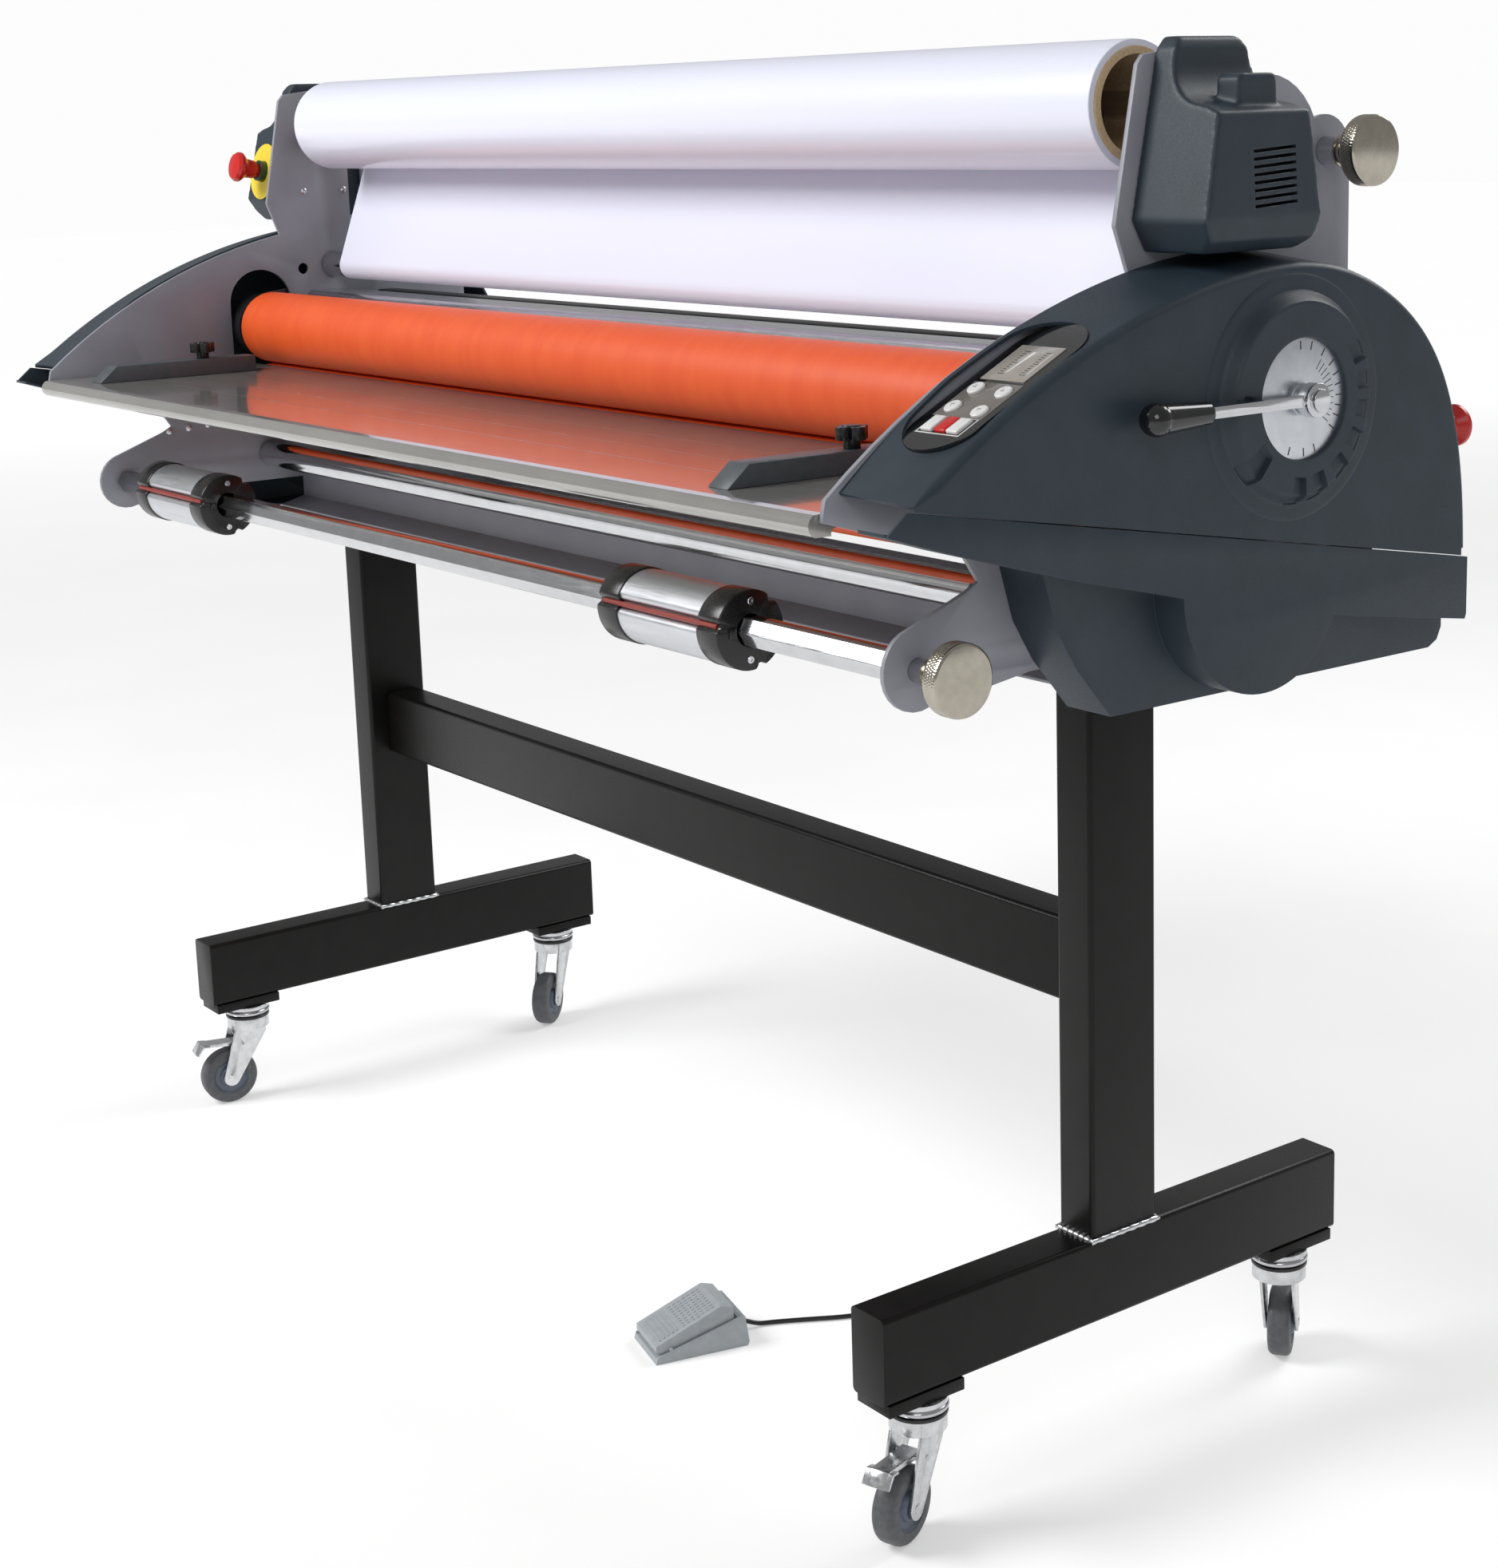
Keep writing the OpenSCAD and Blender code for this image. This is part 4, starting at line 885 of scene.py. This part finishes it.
# %% [markdown]
# ## Control panel
# On the black overlay lie a pale display window with two generic scales, a grey field under the round keys
# and a thin white frame round the bar keys. They could be painted on with a mask. Thin raised pieces are used
# instead, because they keep sharp borders at any distance, and an arrow on a key then travels with the key.

# %% Panel details


def field(name, low_u, low_v, high_u, high_v, low, high, finish, slot, radius=0.0):
    """A flat block on the panel between two corners."""
    outline = [(low_u, low_v), (high_u, low_v), (high_u, high_v), (low_u, high_v)]
    points, faces = prism_points(outline, low, high, on_panel)
    made = piece(name, points, faces, "machine", finish, slot, smooth=10)
    return rounded(made, radius, 2) if radius else made


field("display_window", -27, 7, 27, 60, -0.5, 0.9, display_grey, "key_white", 0.6)
field("key_field", -29, -49, 31, 3, -0.5, 0.35, key_ground, "key_white", 0.2)
scale_marks = []
for column in (-14, 12):
    for k in range(11):
        v = 16 + 3.4 * k
        scale_marks.append(prism_points([(column, v), (column + (7 if k % 5 == 0 else 4), v),
                                         (column + (7 if k % 5 == 0 else 4), v + 0.7), (column, v + 0.7)],
                                        0.85, 1.05, on_panel))
piece("display_scales", *merged(scale_marks), "machine", black_abs, "black_plastic", smooth=10)
needles = [prism_points([(-6, 18), (-4.5, 18), (1, 50), (-3, 50)], 0.85, 1.1, on_panel),
           prism_points([(20, 18), (21, 18), (21, 50), (20, 50)], 0.85, 1.1, on_panel)]
piece("display_needles", *merged(needles), "machine", key_plastic, "key_white", smooth=10)
# The white frame is four strips between an outer and an inner box of (low u, low v, high u, high v).
outer, inner = (-25, -74, 29, -48), (-23.8, -72.8, 27.8, -49.2)
strip_boxes = [(outer[0], outer[1], outer[2], inner[1]), (outer[0], inner[3], outer[2], outer[3]),
               (outer[0], inner[1], inner[0], inner[3]), (inner[2], inner[1], outer[2], inner[3])]
strips = [prism_points([(a, b), (c, b), (c, d), (a, d)], -0.4, 0.25, on_panel) for a, b, c, d in strip_boxes]
piece("key_frame", *merged(strips), "machine", key_plastic, "key_white", smooth=10)

ROUND_KEYS = {"key_speed_up": (-16, -8, 1), "key_mode_up": (20, -10, 1), "key_speed_down": (-16, -36, -1),
              "key_mode_down": (20, -39, -1)}
for key, (u, v, way) in ROUND_KEYS.items():
    arrow = [(u - 2, v - 1.4 * way), (u + 2, v - 1.4 * way), (u, v + 2.2 * way)]
    points, faces = prism_points(arrow, 3.0, 3.32, on_panel)
    piece(key + "_arrow", points, faces, key, black_abs, "black_plastic", smooth=10)
for key in ("key_forward", "key_stop", "key_reverse"):
    softened(key, 1.3, name=key + "_cap")
print("panel details on", len(ROUND_KEYS) + 3, "keys")

# %% [markdown]
# ## Knurled knobs
# The two shaft knobs are turned and plated, with a knurled rim. A bump map could fake the knurl, but its
# outline would stay smooth. So the knurl is a ripple on the turned rim's radius: two sets of shallow waves
# that cross, as two rows of knurling wheels leave them. The shafts turn with their knobs.

# %% Knobs and shafts
KNOB_X = BACK_X - 0.3 + 20


def knurl(angle, along, radius):
    """Crossed waves at most 0.45 mm deep, on the rim only, 72 to a turn."""
    rim = (radius > 31.2) & (along > 25.5) & (along < 38.5)
    wave = np.abs(np.sin(36 * angle + 0.55 * along)) * np.abs(np.sin(36 * angle - 0.55 * along))
    return np.where(rim, -0.45 * wave, 0)


rim_steps = [(a, 32.0) for a in np.linspace(26, 38, 13)]
KNOB = [(0, 0), (0, 14), (1, 15), (3, 15), (4, 13.4), (6, 13.4), (7, 15), (9, 15), (10, 13.6),
        (13, 14.4), (16, 15.5), (20, 18), (22, 22), (23.4, 30), (24.6, 31.4), *rim_steps,
        (39.6, 31.4), (40.6, 30), (40.9, 29), (40.6, 0)]


def knob(name, axis_y, axis_z, body):
    """A knob on a shaft's right end. 288 points to a turn give each knurl wave four."""
    turned(name, KNOB, (KNOB_X, axis_y, axis_z), body, nickel, "turned_steel", around=288, ripple=knurl)


TAKEUP, REWIND = (-315.0, 855.0), (178.0, 1266.0)
PLATE_X, HEX_RADIUS = 827.0, 15
hexagon = [(TAKEUP[0] + HEX_RADIUS * math.cos(t), TAKEUP[1] + HEX_RADIUS * math.sin(t))
           for t in np.radians(np.arange(0, 360, 60))]
hex_bar = piece("takeup_hex_bar", *prism_points(hexagon, -PLATE_X + 4, PLATE_X - 4, along_x), "takeup",
                polished_steel, "turned_steel", stands_for=["takeup_shaft"])
rounded(hex_bar, 0.8, 2)
turned("takeup_journal_left",
       [(0, 0), (0, 9), (1, 10), (6, 10), (6, 18), (13, 18), (13, 10), (23, 10), (23, 0)],
       (-846.0, *TAKEUP), "takeup", polished_steel, "turned_steel")
turned("takeup_journal_right", [(0, 0), (0, 10), (29.5, 10), (29.5, 0)], (PLATE_X - 4.0, *TAKEUP), "takeup",
       polished_steel, "turned_steel")
knob("takeup_knob", *TAKEUP, "takeup")
REWIND_LEFT, REWIND_RIGHT = -838.0, 852.0
rewind_length = REWIND_RIGHT - REWIND_LEFT
turned("rewind_bar", [(0, 0), (0, 11.5), (1, 12.5), (rewind_length, 12.5), (rewind_length, 0)],
       (REWIND_LEFT, *REWIND), "rewind", polished_steel, "turned_steel", stands_for=["rewind_shaft"])
turned("rewind_core", [(0, 12.6), (0, 29), (1, 30), (1553, 30), (1554, 29), (1554, 12.6), (0, 12.6)],
       (-777.0, *REWIND), "rewind", core_board, "core_board")
knob("rewind_knob", *REWIND, "rewind")
print("two knobs of", len(KNOB) * 288, "points each, and their shafts")

# %% [markdown]
# ## Core chucks
# A chuck is an extruded aluminium tube with shallow channels, a red rubber cord in each channel, and a black
# cap on each end. A tube with three cuts would do. Its section is one radius that dips at each channel
# instead, pushed along the shaft, so that tube and caps share a formula and the channels line up.

# %% Chucks
CHANNELS = np.radians([168, 288, 48])
TUBE_RADIUS, TUBE_FLOOR, CAP_RADIUS, CAP_FLOOR = 36.6, 30.0, 37.5, 33.0
CORD_AT, CORD_RADIUS = 32.6, 2.6
SOCKET_SCREW = [(-1, 0), (-1, 3.6), (0.5, 3.6), (1.1, 3.0), (1.1, 1.6), (0.2, 1.4), (0.2, 0)]


def chuck_radius(angle, full, floor_r, half=15.0):
    """Full radius, falling to floor_r within half degrees of each channel with sloping sides."""
    near = np.degrees(np.min([np.abs((angle - c + np.pi) % (2 * np.pi) - np.pi) for c in CHANNELS], axis=0))
    return np.interp(near, [0, half * 0.35, half * 0.6, half], [floor_r, floor_r, full - 2.4, full])


def chuck_section(x_values, full, floor_r, bore=15.4, half=15.0):
    """The outer section at each x, closed by a round bore."""
    t = np.linspace(0, 2 * np.pi, 144, endpoint=False)
    rings = [(x, chuck_radius(t, full, floor_r, half) - shrink) for x, shrink in x_values]
    rings += [(x, bore) for x in (x_values[-1][0], x_values[0][0])]
    grid = np.stack([np.column_stack([np.full(len(t), x), TAKEUP[0] + r * np.cos(t),
                                      TAKEUP[1] + r * np.sin(t)]) for x, r in rings])
    return grid.reshape(-1, 3), quads(len(rings), len(t), wrap_rows=True, wrap_columns=True)


def chuck(name, x):
    """Tube, caps, cords, screws and clamp blocks of the chuck whose left end is at x."""
    cap, length = 34.0, 200.0
    tube_ends = [(x + cap - 2, 0.5), (x + length - cap + 2, 0.5)]
    points, faces = chuck_section(tube_ends, TUBE_RADIUS, TUBE_FLOOR)
    piece(name + "_tube", points, faces, name, extruded_aluminium, "bare_aluminium", stands_for=[name])
    for label, low in (("left", x), ("right", x + length - cap)):
        points, faces = chuck_section([(low, 1.2), (low + 0.6, 0.4), (low + 1.6, 0), (low + cap - 1.6, 0),
                                       (low + cap - 0.6, 0.4), (low + cap, 1.2)],
                                      CAP_RADIUS, CAP_FLOOR, half=9.0)
        piece(name + "_" + label + "_cap", points, faces, name, black_abs, "black_plastic", smooth=40)
    cords, screws, blocks = [], [], []
    for c in CHANNELS:
        centre = (x + 6, TAKEUP[0] + CORD_AT * math.cos(c), TAKEUP[1] + CORD_AT * math.sin(c))
        cord_profile = [(0, 0), (0, CORD_RADIUS), (length - 12, CORD_RADIUS), (length - 12, 0)]
        cords.append(turned_points(cord_profile, centre, around=16))
    for t in np.radians([88, 268]):
        y, z = TAKEUP[0] + 27 * math.cos(t), TAKEUP[1] + 27 * math.sin(t)
        for low, way in ((x, -1), (x + length, 1)):
            screws.append(turned_points(SOCKET_SCREW, (low, y, z), axis=(way, 0, 0), around=24))
    for end in (x - 1.5, x + length - 6):
        for angle in (0, 180):
            t = math.radians(angle)
            side, out = np.array([-math.sin(t), math.cos(t)]), np.array([math.cos(t), math.sin(t)])
            middle = np.array(TAKEUP) + 20.5 * out
            outline = [middle + a * side * 5 + b * out * 4 for a, b in ((-1, -1), (1, -1), (1, 1), (-1, 1))]
            blocks.append(prism_points(outline, end, end + 7.5, along_x))
    piece(name + "_cords", *merged(cords), name, red_cord, "roller_rubber")
    piece(name + "_screws", *merged(screws), name, polished_steel, "turned_steel")
    rounded(piece(name + "_blocks", *merged(blocks), name, black_abs, "black_plastic"), 0.5, 2)


chuck("left_chuck", -710.0)
chuck("right_chuck", 395.0)
print("two chucks with", len(CHANNELS), "cords each")

# %% [markdown]
# ## Film
# The supply roll is clear film wound on a board core. The web that leaves it is one thin sheet that runs
# down, under the rear idler and up to the rewind core. A cloth simulation would be wasted on it, because it
# is pulled tight: its line is the tangent between the rolls, worked out from their radii.

# %% Film roll
CORE_HALF = 777.0
SUPPLY, IDLER = np.array([-6.0, 1312.0]), np.array([7.0, 1124.0])
turned("film_on_core",
       [(0, 51.2), (0, 56.9), (0.6, 57.5), (1549.4, 57.5), (1550, 56.9), (1550, 51.2), (0, 51.2)],
       (-775.0, *SUPPLY), "supply", film_gloss, "film", stands_for=["film_roll"], around=128)
turned("supply_core",
       [(0, 44.2), (0, 50.6), (0.5, 51.1), (1553.5, 51.1), (1554, 50.6), (1554, 44.2), (0, 44.2)],
       (-CORE_HALF, *SUPPLY), "supply", core_board, "core_board", around=96)
print("supply roll on its core")

# %% Film web


def tangent_normal(c1, r1, c2, r2, side):
    """Angle of the normal shared by two circles' tangent: a radius is negative on the far side."""
    d = np.asarray(c2) - np.asarray(c1)
    return math.atan2(d[1], d[0]) + side * math.acos((r1 - r2) / np.linalg.norm(d))


def heading(t):
    """The unit vector at angle t."""
    return np.array([math.cos(t), math.sin(t)])


WEB_GAP = 0.6
r_supply, r_idler, r_rewind = (radius + WEB_GAP for radius in (57.5, 17.5, 30))
down = tangent_normal(SUPPLY, r_supply, IDLER, -r_idler, 1)
rise = tangent_normal(IDLER, r_idler, REWIND, r_rewind, -1)
bend = np.linspace(down + math.pi, rise + 2 * math.pi, 16)
arc = IDLER + r_idler * np.stack([np.cos(bend), np.sin(bend)], -1)
web_line = np.vstack([np.linspace(SUPPLY + r_supply * heading(down), arc[0], 24)[:-1], arc,
                      np.linspace(arc[-1], np.array(REWIND) + r_rewind * heading(rise), 20)[1:]])
web_half = CORE_HALF - 6
across = np.linspace(-web_half, web_half, 60)
web = np.concatenate([np.broadcast_to(across[:, None, None], (60, len(web_line), 1)),
                      np.broadcast_to(web_line[None], (60, len(web_line), 2))], -1)
film = piece("film_web_sheet", web.reshape(-1, 3), quads(*web.shape[:2]), "machine", film_gloss, "film",
             stands_for=["film_web"])

# %% [markdown]
# ## Bars and panels between the plates
# The rails between the side plates are a painted channel, a bright tie bar behind the nip, a dark tube, and
# the rear panel. A thin bright aluminium strip on the channel's top is a painted highlight, where light
# falls on its upward face. The frame has them as one part. They are drawn again as separate bars pushed
# from plate to plate, because each one has its own finish and its own edge.

# %% Cross members
span = PLATE_X - 0.5


def rail(name, outline, finish, slot, width=0.0, **rest):
    """An outline in (Y, Z) pushed from plate to plate, with edges rounded by width."""
    points, faces = prism_points(outline, -span, span, along_x)
    made = piece(name, points, faces, "machine", finish, slot, smooth=25, **rest)
    return rounded(made, width, 2) if width else made


rail("base_channel",
     [(-60, 849.5), (60, 849.5), (60, 806), (57, 806), (57, 846.5), (-57, 846.5), (-57, 806), (-95, 796),
      (-95, 799), (-60, 808.6)],
     frame_paint, "frame_grey", 0.6, stands_for=["cross_members"])
# The bare aluminium strip on the channel's grey top is a painted highlight for the light on its upward face.
rail("channel_top_painted_highlight", [(-59.5, 849.6), (58, 849.6), (58, 852), (-59.5, 852)],
     aluminium, "bare_aluminium", 0.5)
rail("nip_tie_bar", [(-40, 1062), (22, 1062), (22, 1090), (-28, 1090), (-34, 1086), (-40, 1078)],
     polished_aluminium, "bare_aluminium", 1.0)
rail("rear_tie_tube", [(72, 1047), (102, 1047), (102, 1085), (72, 1085)], stand_paint, "stand_black", 3.0)
rail("rear_panel", [(205, 846), (228, 846), (228, 975), (225, 975), (225, 849), (205, 849)],
     frame_paint, "frame_grey", 0.8)
print("five rails,", 2 * span, "mm long")

# %% [markdown]
# ## Table lines
# Three narrow polished lines run the whole width of the feed table and help to lay a print square. They could
# be stripes in the table's material. Each is a low bar that stands in the table's groove and shows just above
# it, because a bar catches its own line of light as the real groove's edge does.

# %% Table lines
TABLE_TOP = 997.0
lines = [prism_points([(y - 0.9, TABLE_TOP - 0.9), (y + 0.9, TABLE_TOP - 0.9), (y + 0.9, TABLE_TOP + 0.12),
                       (y - 0.9, TABLE_TOP + 0.12)], -span, span, along_x)
         for y in (-323, -266, -207)]
piece("table_lines", *merged(lines), "machine", polished_aluminium, "bare_aluminium", smooth=10)
print(len(lines), "table lines")

# %% [markdown]
# ## Stop buttons
# Each emergency stop stands in a dark green collar, and the left one also has a yellow disc behind it. The
# frame has the three as one part, which can have only one finish. So it is replaced by turned pieces, whose
# profile also gives each collar its rounded rim.

# %% Collars and yellow disc
LEFT_STOP, RIGHT_STOP = (-878, -62.5, 1252), (878, 272, 1005)
LEAN = math.radians(90 - 11.6)
LEFT_OUT, RIGHT_OUT = (0, -math.sin(LEAN), math.cos(LEAN)), (0, 1, 0)
COLLAR = [(-2.6, 9.4), (10.2, 9.4), (11.2, 10.4), (11.2, 13.0), (10.2, 14), (1.6, 14), (0.3, 13.4),
          (0.3, 11.5), (-9.6, 11.5), (-9.6, 9.4), (-2.6, 9.4)]
turned("left_stop_collar", COLLAR, LEFT_STOP, "machine", green_collar, "collar_green", axis=LEFT_OUT,
       stands_for=["stop_bases"])
turned("right_stop_collar", COLLAR, RIGHT_STOP, "machine", green_collar, "collar_green", axis=RIGHT_OUT)
turned("left_stop_disc",
       [(0.3, 14.1), (1.4, 14.1), (1.9, 14.6), (1.9, 37.4), (1.4, 38), (0.3, 38), (0.3, 14.1)],
       LEFT_STOP, "machine", yellow_plate, "collar_green", axis=LEFT_OUT, around=96)
print("stop collars and disc")

# %% [markdown]
# ## Caster wheels
# A caster wheel is a nylon hub with a soft tread moulded round it. One body with two materials would need its
# faces picked out, so that it is made as two turned pieces. Their axis lies across the fork, at the fork's
# trail behind the swivel. Above each fork sit the swivel's pressed race and its black seal.

# %% Wheels
TREAD = [(-12, 23.9), (-12, 31.5), (-11.4, 34), (-9.8, 36), (-7.5, 37.2), (-6, 37.5), (6, 37.5), (7.5, 37.2),
         (9.8, 36), (11.4, 34), (12, 31.5), (12, 23.9), (-12, 23.9)]
HUB = [(-13.5, 5.1), (-13.5, 12.4), (-12.9, 13), (-9, 15), (-9, 21), (-11.4, 23.8), (11.4, 23.8), (9, 21),
       (9, 15), (12.9, 13), (13.5, 12.4), (13.5, 5.1), (-13.5, 5.1)]
half_turn = np.radians(np.linspace(-90, 90, 13))
race_lip = zip(126.6 + 3.6 * np.sin(half_turn), 26.4 + 3.6 * np.cos(half_turn))
RACE = [(123.0, 24.5), *race_lip, (130.2, 24.5), (123.0, 24.5)]
SEAL = [(118.5, 24.5), (118.5, 28.4), (119.2, 29.1), (122.0, 29.1), (122.7, 28.4), (122.7, 24.5),
        (118.5, 24.5)]
WHEEL_RADIUS, TRAIL, UPRIGHT = 37.5, 32, (0, 0, 1)
# Each caster is its pivot's place and the way that its wheel trails, in degrees from the X axis.
CASTERS = {"front_left": (-725, -245, 261), "front_right": (725, -245, 289), "rear_left": (-725, 245, 307),
           "rear_right": (725, 245, 127)}
for place, (pivot_x, pivot_y, turn) in CASTERS.items():
    c, s = math.cos(math.radians(turn)), math.sin(math.radians(turn))
    middle = (pivot_x + TRAIL * c, pivot_y + TRAIL * s, WHEEL_RADIUS)
    axle = (-s, c, 0)
    wheel = "wheel_" + place
    turned("tread_" + place, TREAD, middle, wheel, tyre_rubber, "tyre_grey", axis=axle,
           stands_for=["caster_wheel_" + place], around=72)
    turned("hub_" + place, HUB, middle, wheel, hub_nylon, "tyre_grey", axis=axle)
    pivot = (pivot_x, pivot_y, 0)
    fork = "fork_" + place
    turned("race_" + place, RACE, pivot, fork, turned_steel, "zinc_plate", axis=UPRIGHT, around=96)
    turned("seal_" + place, SEAL, pivot, fork, black_abs, "black_plastic", axis=UPRIGHT, around=96)
print(len(CASTERS), "wheels in two pieces each, with their swivel races")

# %% [markdown]
# ## Foot switch
# The treadle has five raised bars near its toe and rows of dots behind them for grip. A bump would not cast
# their small shadows, so that they are solid. They stand on the treadle's sloping top, so they are placed by
# a function that follows that slope.

# %% Treadle grip
PEDAL_AT, PEDAL_TURN = np.array([275.0, -200, 0]), math.radians(-14)
TOP_LOW, TOP_HIGH = np.array([-50.0, 19]), np.array([26.0, 50])
slope = (TOP_HIGH - TOP_LOW) / np.linalg.norm(TOP_HIGH - TOP_LOW)


def on_treadle(across, up_slope, out):
    """Places (across, up the slope from the toe, out of the surface) on the turned, sloping treadle."""
    across, up_slope, out = (np.asarray(q, dtype=float) for q in (across, up_slope, out))
    y = TOP_LOW[0] + up_slope * slope[0] - out * slope[1]
    z = TOP_LOW[1] + up_slope * slope[1] + out * slope[0]
    c, s = math.cos(PEDAL_TURN), math.sin(PEDAL_TURN)
    return np.stack([PEDAL_AT[0] + across * c - y * s, PEDAL_AT[1] + across * s + y * c, PEDAL_AT[2] + z], -1)


ribs = [prism_points([(-26, v), (26, v), (26, v + 2.6), (-26, v + 2.6)], -0.5, 1.1, on_treadle)
        for v in 6 + 5.4 * np.arange(5)]
rounded(piece("treadle_ribs", *merged(ribs), "treadle", pedal_plastic, "pedal_grey"), 0.5, 2)
eight = np.radians(np.arange(0, 360, 45))
dots = [prism_points(np.column_stack([u + 1.5 * np.cos(eight), v + 1.5 * np.sin(eight)]), -0.4, 0.8,
                     on_treadle)
        for u in np.arange(-24, 25, 6) for v in np.arange(38, 76, 6)]
piece("treadle_dots", *merged(dots), "treadle", pedal_plastic, "pedal_grey", smooth=20)
foot_switch = [softened(name, 2.0) for name in ("pedal_base", "pedal_treadle")]
print("treadle with", len(ribs), "ribs and", len(dots), "dots")

# %% [markdown]
# ## Plates, guides and stand, with softened edges
# Painted steel is never dead sharp: edges are broken before painting and the coat rounds them further. A
# shader can only pretend to round an edge, and the exported mesh would lose it. So a copy of each such part
# gets a small bevel, which catches a thin line of light.

# %% Softened copies
EDGE_OF_NODE = {
    "left_side_plate": 0.8, "right_side_plate": 0.8, "left_guide": 1.2, "right_guide": 1.2,
    "left_guide_knob": 1.0, "right_guide_knob": 1.0, "stand_uprights": 1.5, "stand_crossbar": 1.5,
    "stand_feet": 1.5}
for name, width in EDGE_OF_NODE.items():
    softened(name, width, 2)
softened("pressure_lever", 0.7, 2, finish=polished_steel)
for place in CASTERS:
    softened("caster_fork_" + place, 0.6, 2)
for side_name in ("left", "right"):
    softened("caster_brake_" + side_name, 0.6, 2)
print(len(EDGE_OF_NODE) + 3 + len(CASTERS), "softened copies")

# %% [markdown]
# ## Screws
# Zinc plated domed heads stand on the side plates and on the rear panel. Each could be its own object, but
# none of them moves or differs. So all of them are one piece, a domed profile turned at each place.

# %% Screws
DOME = [(-0.5, 0), (-0.5, 4.5), (0.6, 4.5), (1.7, 3.6), (2.4, 2.2), (2.6, 0)]
PLATE_SCREWS = [(-250, 915), (-222, 917), (-194, 919), (-30, 1225), (30, 1225), (120, 1195)]
screws = [turned_points(DOME, (side * PLATE_X, y, z), axis=(-side, 0, 0), around=20)
          for side in (-1, 1) for y, z in PLATE_SCREWS]
screws += [turned_points(DOME, (x, 228.0, 962.0), axis=(0, 1, 0), around=20)
           for x in (-780, -390, 0, 300, 780)]
piece("panel_and_plate_screws", *merged(screws), "machine", zinc, "zinc_plate")
print(len(screws), "screws")

# %% [markdown]
# ## Brake tabs
# The tip of each brake lever is folded wider than its stem, to be stepped on. The frame's lever has only the
# stem. The tab's side view is pushed across the wheel, as a press would fold it from one strip.

# %% Brake tabs
TAB = np.array([(44, 3.6), (52, 4.6), (60.4, -6.2), (62.8, -5.4), (54, 7.4), (44, 5.9)])
PIN_OUT, PIN_HEIGHT, TAB_HALF = 14, 81, 15


def brake_tab(place):
    """The folded tip of a brake lever, wider than its stem: its side view pushed across the wheel."""
    pivot_x, pivot_y, turn = CASTERS[place]
    c, s = math.cos(math.radians(turn)), math.sin(math.radians(turn))

    def on_brake(u, v, w):
        """Places (along the lever, up, across) at the lever's pin on the turned fork."""
        out = u + PIN_OUT
        return np.stack([pivot_x + out * c - w * s, pivot_y + out * s + w * c, v + PIN_HEIGHT], -1)

    return prism_points(TAB, -TAB_HALF, TAB_HALF, on_brake)


for side_name in ("left", "right"):
    tab = piece("brake_tab_" + side_name, *brake_tab("front_" + side_name), "brake_" + side_name, zinc,
                "zinc_plate")
    rounded(tab, 0.7, 2)
print("brake tabs")

# %% [markdown]
# ## Weld beads
# The uprights are welded to the feet all round. A plain fillet would look cast, so that each bead is a ring
# of small circles whose radius swells and shrinks, as the puddles of a hand weld do.

# %% Weld beads
FOOT_TOP, HALF_ACROSS, HALF_ALONG = 234.3, 24.0, 43.0
BEAD_RADIUS, BEAD_SWELL, SWELL_RATE = 3.0, 0.35, 40
STEPS, ROUND = 160, 10


def weld_bead(x):
    """A closed ring of small circles round the upright's foot; t runs from 0 to 4, one for each side."""
    t = np.linspace(0, 4, STEPS, endpoint=False)
    corner = np.array([(-1, -1), (1, -1), (1, 1), (-1, 1), (-1, -1)], dtype=float) * [HALF_ACROSS, HALF_ALONG]
    i = t.astype(int)
    run = corner[i] + (corner[i + 1] - corner[i]) * (t - i)[:, None]
    outward = run / np.array([HALF_ACROSS, HALF_ALONG])
    outward = outward / np.abs(outward).max(axis=1)[:, None]
    outward[np.abs(outward) < 0.999] = 0
    a = np.linspace(0, 2 * np.pi, ROUND, endpoint=False)[:, None]
    swell = BEAD_RADIUS + BEAD_SWELL * np.sin(t * SWELL_RATE)
    out_by = (swell * np.cos(a))[..., None] * outward
    height = FOOT_TOP + swell * np.sin(a)
    rings = np.concatenate([run + out_by + [x, 0], height[..., None]], -1)
    return rings.reshape(-1, 3), quads(ROUND, STEPS, wrap_rows=True, wrap_columns=True)


FEET_X = (-725.0, 725.0)
# On the machine the beads carry the stand's black coat: their bright zinc finish here is a painted highlight
# along each bead.
piece("weld_beads", *merged([weld_bead(x) for x in FEET_X]), "machine", zinc, "zinc_plate", smooth=50)
print(len(FEET_X), "weld beads")

# %% [markdown]
# ## Sizes
# The last cell brings the scene up to date once every piece is made.

# %% Sizes and finish
bpy.context.view_layer.update()
